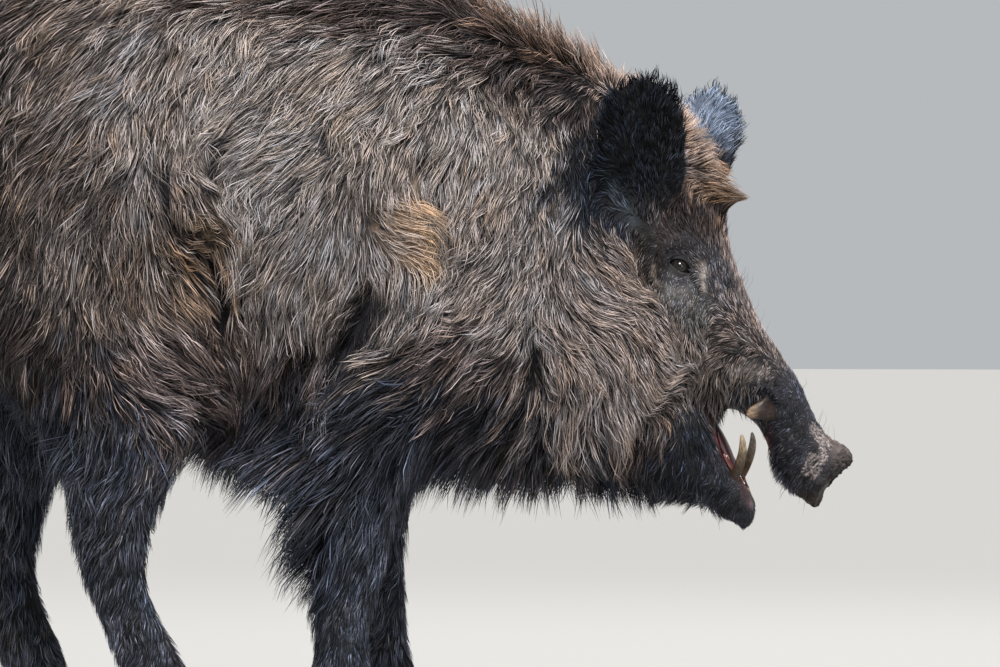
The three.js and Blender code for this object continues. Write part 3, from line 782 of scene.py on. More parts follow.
# The disc of the nose faces forward and down. Its rim stands up a little and the nostrils
# sink into it.
DISC_CENTRE = np.array((0.587, 0, 0.3195))
DISC_AXIS = np.array((0.866, 0, -0.5))
DISC_UP = np.array((0.5, 0, 0.866))
DISC_HALF_WIDTH, DISC_HALF_HEIGHT = 0.037, 0.041
NOSTRIL_ASIDE, NOSTRIL_UP, NOSTRIL_HALF_WIDTH = 0.0155, 0.001, 0.0085
NOSTRIL_DEPTH = 0.013


def from_disc(points):
    """Each point's place by the nose disc: out of its face, up it and to the side."""
    apart = points - DISC_CENTRE
    return apart @ DISC_AXIS, apart @ DISC_UP, np.abs(apart[:, 1])


def shape_disc(sheet):
    out, up, side = from_disc(sheet.co)
    on_disc = ease(-0.012, -0.004, out) * (1 - ease(0.052, 0.06, np.abs(up)))
    rim = np.hypot(side / DISC_HALF_WIDTH, up / DISC_HALF_HEIGHT)
    push = 0.0022 * bell(rim - 0.88, 0.12) - 0.0016 * bell(rim, 0.5)
    # the upper lobe stands forward, the middle dips, the lower lobe is smaller
    push += 0.0042 * bell(up - 0.029, 0.011) - 0.0034 * bell(up - 0.001, 0.009)
    push -= 0.006 * ease(0.006, -0.022, up)
    # groove between the nostrils
    push -= 0.0012 * bell(side, 0.003) * ease(-0.03, 0.0, up)
    across = side - NOSTRIL_ASIDE
    nostril = np.hypot(across / NOSTRIL_HALF_WIDTH, (up - NOSTRIL_UP - across * 0.35) / 0.0062)
    push += 0.0012 * bell(nostril - 1.25, 0.22)
    well = NOSTRIL_DEPTH * (1 - ease(0.55, 1.1, nostril)) * ease(-0.004, 0.001, out)
    sheet.co += DISC_AXIS * (push * on_disc - well)[:, None]
    # its lowest edge is drawn down to a point
    lowest = ease(0.306, 0.288, sheet.co[:, 2]) * ease(0.016, 0.002, np.abs(sheet.co[:, 0] - 0.577))
    sheet.co[:, 2] -= 0.009 * lowest


shape_disc(hide)

# The skin of the disc and round it is lumpy with scars and dry mud.
rng = np.random.default_rng(11)
lumps = rng.normal(size=(len(hide.co), 1))
for _ in range(3):
    lumps = hide.smoothed(lumps)
lumps = (lumps / lumps.std())[:, 0] * ease(0.552, 0.575, hide.co[:, 0]) * (hide.co[:, 2] < 0.4)
LUMP_HEIGHT = 0.0009
hide.co += hide.normals() * (lumps * LUMP_HEIGHT)[:, None]

# The chin ends in a point below the lip.
x, y, z = hide.co.T
on_chin = ease(0.472, 0.494, x) * ease(0.292, 0.268, z) * (x < 0.52)
hide.co += np.stack([-0.0035 * on_chin, -y * 0.35 * on_chin, -0.0045 * on_chin], 1)
set_points(skin, hide.co)


LIP = [(484, 328), (491, 311), (495, 297), (499, 284)]  # the bare edge of the lower lip

# Bare places and marks, with painted shade in the creases and painted highlights on the ridges,
# laid on the hide and on the hair that grows there: path on the side view, half width, colour,
# strength.
PAINT = [
    # dark rims of the lids, the tear line, pale hair before the eye and on the folds behind it
    ([(401, 566), (407, 575), (418, 579), (429, 576), (437, 563)], 3.4, (20, 19, 23), 0.95),
    ([(401, 565), (406, 556), (416, 550), (428, 548), (436, 554)], 3, (40, 38, 46), 0.9),
    ([(430, 561), (436, 553), (441, 544), (446, 533)], 2.6, (13, 12, 15), 1),
    ([(443, 571), (447, 561), (448, 551)], 4, (158, 147, 138), 0.6),
    ([(447, 547), (449, 538)], 2, (180, 168, 158), 0.6),
    ([(395, 570), (393, 560), (397, 548), (404, 540)], 2.2, (128, 116, 104), 0.6),
    ([(406, 540), (418, 535), (430, 530)], 8, (120, 116, 116), 0.5),
    ([(392, 598), (410, 606), (430, 604)], 12, (40, 33, 31), 0.7),
    # wrinkles: painted shade in the creases and a painted highlight on a ridge; pale hair of the
    # moustache
    ([(460, 490), (478, 494), (495, 486), (512, 470), (524, 455)], 2.4, (18, 16, 18), 0.9),
    ([(463, 475), (479, 478), (493, 471), (506, 459)], 2.2, (18, 16, 18), 0.9),
    ([(467, 460), (480, 461), (491, 456)], 2, (20, 18, 20), 0.8),
    ([(460, 482), (478, 486), (494, 479), (509, 464)], 2, (138, 126, 114), 0.2),
    ([(478, 450), (492, 448), (506, 444), (517, 438)], 6, (200, 190, 182), 0.4),
    # painted shade in the crease over the lip's roll, then the roll's own dark skin
    ([(484, 441), (497, 438), (511, 434), (524, 427)], 3.4, (14, 14, 17), 0.9),
    ([(494, 430), (507, 431), (519, 426), (529, 416), (535, 402)], 4, (26, 27, 32), 0.85),
    # root of the upper tusk
    ([(514, 388), (519, 380), (519, 370)], 4, (92, 50, 52), 0.8),
    # inside of the cheek and the lower lip
    ([(448, 414), (456, 402), (459, 390), (461, 377), (467, 358)], 2.8, (48, 22, 26), 0.9),
    ([(468, 356), (474, 344), (482, 330)], 2.4, (88, 44, 46), 0.8),
    (LIP, 4, (128, 106, 114), 0.9),
    # a dark line along the furrow behind the disc
    ([(594, 372), (585, 357), (576, 342), (567, 326)], 2.4, (34, 28, 28), 0.85),
]


# Dried mud behind the disc: path and half width.
MUD = [
    ([(562, 392), (572, 376), (583, 360), (582, 346), (573, 330), (564, 312)], 7),
    ([(574, 352), (566, 336), (560, 322)], 8),
]

# Partings of the coat on the right side, which the branches of a thicket have left, with painted
# shade in them, and tufts of paler hair there, with painted shade in the pocket under the pale fan
# and along the groove behind the shoulder: path, half width, and for the tufts and the painted
# shade a colour and its strength.
PARTINGS = [
    ([(-190, 773), (-167, 703), (-161, 645), (-149, 609), (-120, 590)], 8),
    ([(-64, 748), (-84, 714), (-102, 682), (-116, 650)], 16),
    ([(-138, 632), (-122, 598), (-103, 550), (-95, 490)], 11),
    ([(26, 730), (38, 706), (52, 694)], 10),
    ([(82, 664), (74, 638), (82, 606)], 11),
    ([(102, 574), (86, 536), (62, 492), (38, 452)], 27),
    ([(20, 500), (0, 470), (-10, 440)], 12),
    ([(176, 612), (182, 590), (190, 575)], 8),
    ([(146, 700), (134, 684), (130, 668)], 7),
    ([(268, 492), (262, 462), (256, 425)], 8),
    ([(-60, 566), (-72, 540), (-76, 512)], 7),
]
# painted shade in the partings
PARTING_SHADE = (13, 14, 21)
MARKS = [
    ([(-150, 640), (-128, 615), (-104, 592)], 8, (190, 164, 134), 0.55),
    ([(44, 748), (56, 730)], 10, (196, 164, 130), 0.65),
    ([(92, 652), (112, 636), (130, 610), (136, 584), (128, 560)], 27, (226, 191, 156), 0.95),
    ([(345, 676), (352, 656), (366, 630), (380, 604)], 6, (82, 94, 100), 0.7),
    # painted shade in the pocket under the pale fan
    ([(104, 572), (84, 532), (60, 490), (38, 450)], 21, (15, 16, 23), 0.85),
    # painted shade along the groove behind the shoulder
    ([(-146, 600), (-128, 578), (-110, 540), (-98, 490)], 9, (17, 17, 23), 0.65),
]


def on_right_side(points):
    return ease(-0.09, -0.13, points[:, 1])


def parted(points):
    """How near a parting of the right side each point is, and the way away from it."""
    share, away = np.zeros(len(points)), np.zeros((len(points), 3))
    for path, half in PARTINGS:
        here = stroke(points, path, half) * on_right_side(points)
        offset = to_path(points, path)[3]
        offset /= np.maximum(np.linalg.norm(offset, axis=1), 1e-9)[:, None]
        away[:, [0, 2]] += offset * here[:, None]
        share = np.maximum(share, here)
    return share, away


def tinted(colours, colour, share):
    """The colours, each drawn by its share toward one more colour."""
    return colours + (linear(colour) - colours) * share[:, None]


def painted(points, colours, amount=1):
    """The colours with the bare places and the tufts painted over them, and painted shade in the creases,
    pockets and partings.
    """
    off_midline = ease(0.004, 0.012, np.abs(points[:, 1])) * amount
    for path, half, colour, strength in PAINT:
        colours = tinted(colours, colour, stroke(points, path, half) * strength * off_midline)
    marked = min(1.4 * amount, 1)
    for path, half, colour, strength in MARKS:
        share = stroke(points, path, half) * strength * on_right_side(points) * marked
        colours = tinted(colours, colour, share)
    # painted shade in the partings, over hide and hair alike
    return tinted(colours, PARTING_SHADE, parted(points)[0] * 0.75)


def muddy(points):
    """How deep in dried mud each point is, from 0 to 1."""
    share = np.max([stroke(points, path, half) for path, half in MUD], axis=0)
    return share * ease(0.002, 0.01, np.abs(points[:, 1]))


def line_ears(points, normals, colours, inner):
    """The inner face of each ear has paler, bluish hair: its own pale hair with painted light of the sky
    behind it.
    """
    for ear, (root, along, across) in EARS.items():
        sign = side_of(ear)
        inward = np.cross(along, across)
        inward = inward * -np.sign(inward[1]) * sign
        share = ease(0.5, 0.8, normals @ inward) * ease(0.67, 0.71, points[:, 2])
        share *= ease(0.085, 0.11, points[:, 1] * sign) * ease(0.32, 0.34, points[:, 0])
        from_root = (points - np.array(root) / 1000) @ np.stack([across, along], 1)
        rim, tip = BLACK_RIM[ear]
        share *= ease(rim, rim - 0.01, np.abs(from_root[:, 0]))
        share *= ease(tip, tip - 0.12, from_root[:, 1] * 1000 / EAR_LENGTH)
        colours = tinted(colours, inner, share)
    return colours


def mouth_lining(points, normals):
    """How much of the mouth's wet lining each point is: the roof, the trough and the lips' inside."""
    x, y, z = points.T
    in_gape = ease(0.432, 0.445, x) * (1 - ease(0.515, 0.53, x)) * ease(0.285, 0.3, z)
    facing = ease(0.25, 0.6, normals @ np.array((0.76, 0, 0.65)))
    jaw = facing * (1 - ease(0.024, 0.032, np.abs(y))) * (1 - ease(0.395, 0.41, z))
    roof = ease(0.3, 0.65, normals @ np.array((-0.75, 0, -0.66)))
    roof *= (1 - ease(0.022, 0.03, np.abs(y))) * ease(0.34, 0.36, z) * ease(0.45, 0.47, x)
    roof *= (1 - ease(0.515, 0.53, x)) * (1 - ease(0.43, 0.45, z))
    return np.clip(in_gape * jaw + roof, 0, 1)


# The pastern swells backwards round the roots of the dewclaws. LEG_AXES starts at the fetlock,
# as height and distance forward.
for leg, axis in LEG_AXES.items():
    root = np.array((axis[0][0] - 32, side_of(leg) * 112, 70)) / 1000
    apart = (hide.co - root) * (1, 0.75, 0.8)
    hide.co -= np.array((0.009, 0, 0)) * np.exp(-((apart / 0.02) ** 2).sum(1))[:, None]

# The hide sinks a little along the partings.
PARTING_DEPTH = 0.008
hide.co -= hide.normals() * (parted(hide.co)[0] * PARTING_DEPTH)[:, None]
set_points(skin, hide.co)

# The hide's own unwrap, which places every tuft's patch of colour too.
edit_whole(skin)
bpy.ops.uv.smart_project(angle_limit=math.radians(72), island_margin=0.0015)
close_edit()
skin.data.uv_layers[0].name = "OFBake"
bpy.ops.object.shade_smooth()

hide_coat = coat_at(hide.co)
hide_normals = hide.normals()
lining = mouth_lining(hide.co, hide_normals)
# inside of the nostrils, painted near black: painted shade in the recesses
NOSTRIL = (22, 15, 15)
DARK_FLESH, RED_FLESH = (38, 19, 22), (104, 40, 38)
GUM_LEVEL = 0.36  # height of the reddest flesh of the mouth


def hide_colours():
    """Colour of the bare hide: dark under long hair, the short hair's own colour on the face."""
    short = (1 - ease(3, 18, hide_coat[:, LENGTH] * 1000))[:, None]
    colour = hide_coat[:, ROOT] * (1 - 0.2 * short) + hide_coat[:, TIP] * 0.2 * short
    colour *= 0.6 + 0.2 * short
    colour = painted(hide.co, line_ears(hide.co, hide_normals, colour, TINTS["inner_ear_backlit"][0]))
    # painted shade in the nostril wells
    out, up, side = from_disc(hide.co)
    nostril = np.hypot((side - NOSTRIL_ASIDE) / NOSTRIL_HALF_WIDTH, (up - NOSTRIL_UP) / 0.0068)
    well = 1 - ease(0.6, 1.05, nostril)
    well *= ease(-0.02, -0.012, out) * (hide.co[:, 0] > 0.56)
    colour = tinted(colour, NOSTRIL, well)
    gum = bell(hide.co[:, 2] - GUM_LEVEL, 0.014)[:, None]
    flesh = linear(DARK_FLESH) + (linear(RED_FLESH) - linear(DARK_FLESH)) * gum
    return colour + (flesh - colour) * lining[:, None]


def paint_vertices(obj, colours, name="Tint"):
    layer = obj.data.color_attributes.new(name, "FLOAT_COLOR", "POINT")
    rgba = np.ones((len(colours), 4), np.float32)
    rgba[:, :3] = colours
    layer.data.foreach_set("color", rgba.ravel())


paint_vertices(skin, hide_colours())
disc_face = ease(-0.012, -0.004, from_disc(hide.co)[0]) * (hide.co[:, 0] > 0.555)
for name, share in (("Wet", np.maximum(lining, disc_face)), ("Mud", muddy(hide.co))):
    paint_vertices(skin, np.repeat(share[:, None], 3, 1), name)


class Finish:
    """A material with its nodes, linked by name."""

    def __init__(self, name):
        self.material = bpy.data.materials.new(name)
        self.material.use_nodes = True
        self.tree = self.material.node_tree
        self.shader = self.tree.nodes["Principled BSDF"]

    def fill(self, node, sockets):
        for key, value in sockets.items():
            if isinstance(value, bpy.types.NodeSocket):
                self.tree.links.new(value, node.inputs[key])
            else:
                node.inputs[key].default_value = value

    def set(self, sockets):
        self.fill(self.shader, sockets)

    def node(self, kind, inputs=None, **settings):
        made = self.tree.nodes.new("ShaderNode" + kind)
        for key, value in settings.items():
            setattr(made, key, value)
        self.fill(made, inputs or {})
        return made

    def layer(self, name):
        """A colour that is stored at the mesh's vertices."""
        return self.node("VertexColor", layer_name=name).outputs["Color"]

    def noise(self, scale, detail=4, roughness=0.6, stretch_by=None):
        place = self.node("TexCoord").outputs["Object"]
        if stretch_by:
            place = self.node("Mapping", {"Vector": place, "Scale": stretch_by}).outputs["Vector"]
        inputs = {"Vector": place, "Scale": scale, "Detail": detail, "Roughness": roughness}
        return self.node("TexNoise", inputs).outputs["Fac"]

    def between(self, value, low, high, start=0, end=1):
        """Runs from low to high while the value runs from start to end."""
        inputs = {"Value": value, "From Min": start, "From Max": end, "To Min": low, "To Max": high}
        return self.node("MapRange", inputs).outputs["Result"]

    def times(self, colour, value):
        return self.node("VectorMath", {0: colour, 1: value}, operation="MULTIPLY").outputs["Vector"]

    def mixed(self, share, one, other):
        return self.node("Mix", {0: share, 6: one, 7: other}, data_type="RGBA").outputs[2]

    def ramp(self, value, *stops):
        """A colour for each value, from two stops of a place and a colour."""
        made = self.node("ValToRGB", {"Fac": value})
        for stop, (place, colour) in zip(made.color_ramp.elements, stops):
            stop.position = place
            stop.color = (*linear(colour), 1)
        return made.outputs["Color"]

    def bump(self, height, strength, distance, **under):
        inputs = {"Height": height, "Strength": strength, "Distance": distance, **under}
        return self.node("Bump", inputs).outputs["Normal"]


def hide_finish():
    """Dull dark hide; the disc and the mouth are rougher and wet, and mud is caked over it."""
    finish = Finish("boar_hide")
    wet_parts = finish.layer("Wet")
    speckle = finish.between(finish.noise(900, 3, 0.7), 0.45, 1.55)
    patches = finish.between(finish.noise(60, 3), 0.8, 1.2)
    clean = finish.times(finish.times(finish.layer("Tint"), speckle), patches)
    worn = finish.times(clean, finish.between(finish.noise(110, 7, 0.85), 0.4, 2.3, 0.42, 0.6))
    unsoiled = finish.mixed(wet_parts, clean, worn)
    flakes = finish.noise(330, 5, 0.75)
    crust = finish.node("Math", {0: finish.layer("Mud"), 1: flakes}, operation="ADD").outputs["Value"]
    caked = finish.between(crust, 0, 1, 0.9, 1.24)
    mud_tone = finish.ramp(finish.noise(330, 6, 0.85), (0.43, (34, 28, 28)), (0.6, (158, 148, 145)))
    finish.set({"Base Color": finish.mixed(caked, unsoiled, mud_tone)})
    finish.set({"Roughness": finish.between(wet_parts, 0.78, 0.46), "Specular IOR Level": 0.3})
    fine = finish.bump(finish.noise(1100, 3, 0.7), 0.6, 0.0008)
    relief = finish.between(wet_parts, 0.0015, 0.006)
    finish.set({"Normal": finish.bump(finish.noise(240, 4, 0.65), 0.8, relief, Normal=fine)})
    return finish.material


skin.data.materials.clear()
skin.data.materials.append(hide_finish())
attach(skin, "root")
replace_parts(skin, *FLESH)


# ---- coat ----
# Winter coat: stiff bristles and underwool in pointed locks, combed as the table above says.
# Each strand is a thin closed blade of three sides that is rooted in the hide; the shorter,
# finer underwool stands between the bristles.

# How far apart the strands of each length stand, and how wide they are. Millimetres.
LENGTHS = (2, 8, 15, 30, 60, 110)
SPACINGS = (2.0, 2.25, 2.4, 2.7, 3.0, 3.7)
WIDTHS = (0.75, 0.9, 0.95, 1.0, 1.1, 1.6)
UNDERWOOL, WHISKERS = 0.6, 0.008  # shares of the strands
CLUMP, LOCK = 14, 120  # strands that lean together


def over(corners, weights, values):
    """Values of the hide's vertices, blended at points inside its triangles."""
    return sum(values[corners[:, k]] * weights[:, k : k + 1] for k in range(3))


def unit(vectors):
    return vectors / np.maximum(np.linalg.norm(vectors, axis=1), 1e-12)[:, None]


def hide_bareness():
    """1 where no hair grows: mouth, eyes, nose disc and soles."""
    x, y, z = hide.co.T
    bare = np.maximum.reduce([lining, muddy(hide.co) * 0.8, stroke(hide.co, LIP, 4.5)])
    for sign, axes in eye_frames.items():
        u, v, height = ((hide.co - (EYE.x, sign * EYE.y, EYE.z)) @ axes.T).T
        near = (np.abs(height) < 0.03) & (y * sign > 0)
        bare = np.maximum(bare, (1 - ease(EYE_RADIUS, 0.016, np.hypot(u, v * 1.15))) * near)
    on_disc = ease(-0.016, -0.008, from_disc(hide.co)[0]) * (x > 0.55)
    return np.clip(np.maximum.reduce([bare, on_disc, 1 - ease(0.03, 0.036, z)]), 0, 1)


corner_a, corner_b, corner_c = (hide.co[hide.triangles[:, k]] for k in range(3))
areas = np.linalg.norm(np.cross(corner_b - corner_a, corner_c - corner_a), axis=1) / 2
spacing = np.interp(hide_coat[:, LENGTH] * 1000, LENGTHS, SPACINGS) / 1000
crowd = (1 - hide_bareness()) / spacing**2
wanted = areas * crowd[hide.triangles].mean(1)
count = int(wanted.sum())
spots = (np.arange(count) + rng.random(count)) / count * wanted.sum()
triangle = np.searchsorted(np.cumsum(wanted), spots).clip(0, len(wanted) - 1)
corners = hide.triangles[triangle]
split = np.sqrt(rng.random(count))
turn = rng.random(count)
weights = np.stack([1 - split, split * (1 - turn), split * turn], 1)
roots = over(corners, weights, hide.co)
root_normals = unit(over(corners, weights, hide_normals))
grown = over(corners, weights, hide_coat)
full_length = grown[:, LENGTH] * 1000
hide_lie = hide_coat[:, LIE]
hide_lie = unit(hide_lie - hide_normals * (hide_lie * hide_normals).sum(1)[:, None])


def tree_of(points):
    tree = kdtree.KDTree(len(points))
    for i, at in enumerate(points):
        tree.insert(at, i)
    tree.balance()
    return tree


def nearest(tree, points):
    return np.array([tree.find(at)[1] for at in points])


def gather(every):
    """Picks one leading strand in `every` strands, and gives each strand its nearest leader."""
    leaders = rng.choice(count, count // every, replace=False)
    return leaders[nearest(tree_of(roots[leaders]), roots)]


clump = gather(CLUMP)
lock = gather(LOCK)


def spread(size, lead, own):
    """A random amount for each strand: partly its lock's, partly its clump's, partly its own."""
    draw = rng.normal(size=count)
    return size * (0.6 * draw[lock] * lead + 0.8 * draw[clump] * lead + draw * own)


# Clumps of neighbouring tints stand among each other.
stray = rng.normal(size=(count, 3))
stray = (stray[clump] + stray * 0.5) * (grown[:, LENGTH] * 0.3)[:, None]
grown[:, COLOURS] = coat_at(roots + stray)[:, COLOURS]


def broad(times):
    """A random amount that changes slowly over the hide."""
    draw = rng.normal(size=(len(hide.co), 1))
    for _ in range(times):
        draw = hide.smoothed(draw)
    return over(corners, weights, draw / draw.std())[:, 0]


length = grown[:, LENGTH] * np.exp(spread(0.15, 0.8, 1)).clip(0.5, 1.25)
wool = rng.random(count) < UNDERWOOL * ease(16, 30, full_length)
length = np.where(wool, length * rng.uniform(0.42, 0.75, count), length)
lift = np.radians(grown[:, LIFT]) * np.exp(spread(0.24, 0.8, 0.6) + 0.22 * broad(8)).clip(0.4, 1.35)
width = np.interp(full_length, LENGTHS, WIDTHS) / 1000 * rng.uniform(0.7, 1.25, count)
swing = np.radians(spread(11, 0.9, 0.7) + 11 * broad(30) + 5 * broad(6))
bend = np.radians(spread(6, 1, 0.6))

# Whiskers: a few long, fine, stiff hairs of the brow, the lips and the chin.
x, y, z = roots.T
whisker = (rng.random(count) < WHISKERS) & (x > 0.4) & (length < 0.022)
length = np.where(whisker, rng.uniform(0.016, 0.034, count), length)
lift = np.where(whisker, np.radians(48), lift)
width = np.where(whisker, 0.0005, width)

# The hair leans away from the partings of the right side, and each of the tufts there fans
# out its own way: place, radius, turn.
TUFTS = [
    ((104, 632), 36, 84),
    ((122, 596), 30, 60),
    ((48, 742), 17, 60),
    ((-128, 612), 24, 62),
    ((205, 590), 20, -34),
    ((262, 700), 24, 28),
]
for (tx, tz), radius, turn in TUFTS:
    near = np.exp(-(((x - tx / 1000) ** 2 + (z - tz / 1000) ** 2) / (radius / 1000) ** 2))
    swing += math.radians(turn) * near * on_right_side(roots)
# Low down, the hair that stands off the hide hangs by its weight.
loose = ease(17, 30, grown[:, LIFT]) * ~whisker * (z < 0.6)
SAG = np.array((0, 0, -0.34))

nearness, away = parted(roots)
length *= 1 - 0.25 * nearness

# Each strand takes three steps over the hide, which turn with it and never sink into it.
JOINTS = 3
ROOT_DEPTH, CLEARANCE = 0.0008, 0.0012
hide_tree = tree_of(hide.co)
path = [roots - root_normals * ROOT_DEPTH]
heading = None
for joint in range(1, JOINTS + 1):
    at = nearest(hide_tree, path[-1])
    normal, lie = hide_normals[at], unit(hide_lie[at] + away * 0.6)
    aside = np.cross(normal, lie)
    turn = swing + bend * (joint - 1.6)
    lie = lie * np.cos(turn)[:, None] + aside * np.sin(turn)[:, None]
    rise = lift * (1.75 - 1.1 * joint / JOINTS)
    surface = lie * np.cos(rise)[:, None] + normal * np.sin(rise)[:, None]
    if heading is None:
        heading = surface
    hanging = unit(heading + SAG)
    heading = unit(surface + (hanging - surface) * (loose * (joint > 1))[:, None])
    point = path[-1] + heading * (length / JOINTS)[:, None]
    height = ((point - hide.co[at]) * normal).sum(1)
    point += normal * np.maximum(CLEARANCE - height, 0)[:, None]
    path.append(point)

# The hair at the foot of the crown meets in a tuft that juts over the brow.
TUFT_ROOT, TUFT_TIP = np.array((0.458, 0, 0.65)), np.array((0.495, 0, 0.645))
apart = np.linalg.norm((roots - TUFT_ROOT) * (1, 0.75, 1), axis=1)
near = ease(0.036, 0.014, apart) * ~whisker
for joint, share in ((2, 0.3), (3, 0.75)):
    path[joint] = path[joint] + (TUFT_TIP - path[joint]) * (near * share)[:, None]

# Clumps close towards their tips, and the clumps of a lock lean together. Each row gives the
# leaders, how far they reach, and how much of the way each joint goes.
CLOSING = [
    (clump, 0.02, ((1, 0.12), (2, 0.5), (3, 0.95))),
    (lock, 0.045, ((2, 0.12), (3, 0.3))),
]
closing = np.interp(full_length, (6, 20, 60), (0.12, 0.4, 0.6)) * np.where(wool, 0.5, 1)
for leader, reach, shares in CLOSING:
    near = np.linalg.norm(roots[leader] - roots, axis=1) < reach
    for joint, share in shares:
        pull = path[joint][leader] - path[joint]
        path[joint] = path[joint] + pull * (closing * share * near)[:, None]

# Light and dark, warm and cool strands, by lock, by clump and one by one.
own_tone = np.interp(full_length, (12, 40), (2.6, 2.45))
contrast = np.interp(full_length, (8, 14, 30), (0.26, 0.33, 0.25))
WOOL_TONE, WHISKER_TONE, BRIGHTEST = 0.7, 0.35, 0.85
tone = np.exp(spread(contrast, 1.15, own_tone)) * np.where(wool, WOOL_TONE, 1)
tone = np.where(whisker, WHISKER_TONE, tone)[:, None]
warmth = rng.normal(0, 0.05, count)
warmth = 1 + (warmth[clump] + 0.6 * warmth + 0.03 * broad(12))[:, None] * np.array((0.75, -0.1, -1))
root_colour = line_ears(roots, root_normals, grown[:, ROOT], TINTS["inner_ear_backlit"][0])
root_colour = painted(roots, root_colour, 0.35)
tip_colour = line_ears(roots, root_normals, grown[:, TIP], TINTS["inner_ear_backlit"][1])
tip_colour = painted(roots, tip_colour, 0.7) * tone * warmth
tip_colour *= np.minimum(BRIGHTEST / tip_colour.max(1), 1)[:, None]

# Every strand's patch on the hide's unwrap.
PATCH = 0.003
skin.data.calc_loop_triangles()
bake_map = values_of(skin.data.uv_layers["OFBake"].data, "uv", 2, np.float32)
triangle_loops = values_of(skin.data.loop_triangles, "loops", 3, np.int32)
root_map = over(triangle_loops[triangle], weights, bake_map).clip(0.002, 0.998)

# Long bristles have three lengths, shorter ones two, wool and short hair one. For each kind:
# the places along the strand, its width there, and how far its colour has gone from root to tip.
joints_of = np.where(length > 0.07, 3, np.where(wool | (length < 0.028), 1, 2))
STOPS = {3: (0, 1, 2, 3), 2: (0, 1.5, 3), 1: (0, 3)}
TAPER = {3: (0.8, 1, 0.7), 2: (0.9, 0.9), 1: (1.25,)}
SHADE = {3: (0, 0.3, 0.85, 1), 2: (0.05, 0.62, 1), 1: (0.1, 1)}


def rings_of(chosen, joints):
    """Rings of three points along each chosen strand, and its tip."""
    stops = STOPS[joints]
    line = [(path[int(stop)][chosen] + path[math.ceil(stop)][chosen]) / 2 for stop in stops]
    rings = []
    for k, taper in enumerate(TAPER[joints]):
        run = unit(line[k + 1] - line[max(k - 1, 0)])
        side = unit(np.cross(run, root_normals[chosen]))
        top = np.cross(side, run)
        half = (width[chosen] / 2 * taper)[:, None]
        rings += [line[k] - side * half, line[k] + side * half, line[k] + top * half * 0.9]
    return np.stack([*rings, line[-1]], 1)


def blade_faces(joints):
    """Triangles of one blade, and for each corner its patch's (along, around) position."""
    faces, patch = [], []
    for k in range(joints - 1):
        for i in range(3):
            low, high, j = 3 * k, 3 * k + 3, (i + 1) % 3
            faces += [(low + i, low + j, high + j), (low + i, high + j, high + i)]
            patch += [((k, i), (k, i + 1), (k + 1, i + 1)), ((k, i), (k + 1, i + 1), (k + 1, i))]
    low = 3 * (joints - 1)
    for i in range(3):
        faces.append((low + i, low + (i + 1) % 3, 3 * joints))
        patch.append(((joints - 1, i), (joints - 1, i + 1), (joints, i + 0.5)))
    faces.append((0, 2, 1))
    patch.append(((0, 0), (0, 2), (0.1, 1)))
    along_around = np.array(patch, float) / (joints, 3) - 0.5
    return np.array(faces), along_around * PATCH


def coat_piece(name, chosen, finish):
    """All chosen strands as one mesh, with their colours and their patches of the unwrap."""
    points, shades, faces, patches = [], [], [], []
    first = 0
    for joints in (3, 2, 1):
        some = np.flatnonzero(chosen & (joints_of == joints))
        if not len(some):
            continue
        rings = rings_of(some, joints)
        blade, patch = blade_faces(joints)
        share = np.repeat(SHADE[joints], [3] * joints + [1])[None, :, None]
        shade = root_colour[some, None] * (1 - share) + tip_colour[some, None] * share
        shades.append(shade.reshape(-1, 3))
        points.append(rings.reshape(-1, 3))
        starts = first + np.arange(len(some)) * (3 * joints + 1)
        faces.append((starts[:, None, None] + blade).reshape(-1, 3))
        patches.append((root_map[some, None, None] + patch).reshape(-1, 2))
        first += rings.shape[0] * rings.shape[1]
    lists = (points, shades, faces, patches)
    points, shades, faces, patches = (np.concatenate(parts) for parts in lists)
    mesh = bpy.data.meshes.new(name)
    mesh.vertices.add(len(points))
    mesh.vertices.foreach_set("co", points.astype(np.float32).ravel())
    mesh.loops.add(faces.size)
    mesh.loops.foreach_set("vertex_index", faces.astype(np.int32).ravel())
    mesh.polygons.add(len(faces))
    mesh.polygons.foreach_set("loop_start", np.arange(0, faces.size, 3, dtype=np.int32))
    mesh.polygons.foreach_set("use_smooth", np.ones(len(faces), bool))
    mesh.update(calc_edges=True)
    mesh.uv_layers.new(name="OFBake").data.foreach_set("uv", patches.astype(np.float32).ravel())
    piece = bpy.data.objects.new(name, mesh)
    bpy.context.scene.collection.objects.link(piece)
    paint_vertices(piece, shades)
    mesh.materials.append(finish)
    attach(piece, "root")


def coat_finish():
    """Dull, dry hair."""
    finish = Finish("boar_coat")
    grain = finish.between(finish.noise(420, 2), 0.8, 1.2)
    damp = finish.between(finish.noise(34, 3), 0.86, 1.14)
    finish.set({"Base Color": finish.times(finish.times(finish.layer("Tint"), grain), damp)})
    finish.set({"Roughness": finish.between(finish.noise(160, 2), 0.62, 0.8), "Specular IOR Level": 0.14})
    return finish.material


# The coat's pieces: both forelegs, both hind legs, and each side of the body from the rump to
# the head, each up to its front end.
FRONTS = {"rump": -0.27, "barrel": -0.02, "shoulder": 0.22, "neck": 0.36, "head": 1}
bristle = coat_finish()
x, y, z = roots.T
on_limb = np.zeros(count, bool)
for leg in LEGS:
    top = 0.36 if leg.startswith("fore") else 0.4
    on_limb |= (z < top) & (np.abs(x - leg_middle(leg, z)) < 0.13) & (y * side_of(leg) > 0.05)
on_limb &= x < 0.2
fore = x > -0.1
coat_piece("coat_legs_fore", on_limb & fore, bristle)
coat_piece("coat_legs_hind", on_limb & ~fore, bristle)
for side, there in (("right", y < 0), ("left", y >= 0)):
    back = -1
    for part, front in FRONTS.items():
        coat_piece(f"coat_{part}_{side}", there & ~on_limb & (x >= back) & (x < front), bristle)
        back = front


# ---- eyes ----
# Small dark-brown eyes set deep in the lids: a smooth ball with a bulging clear front over an
# iris with a pupil that lies across it.

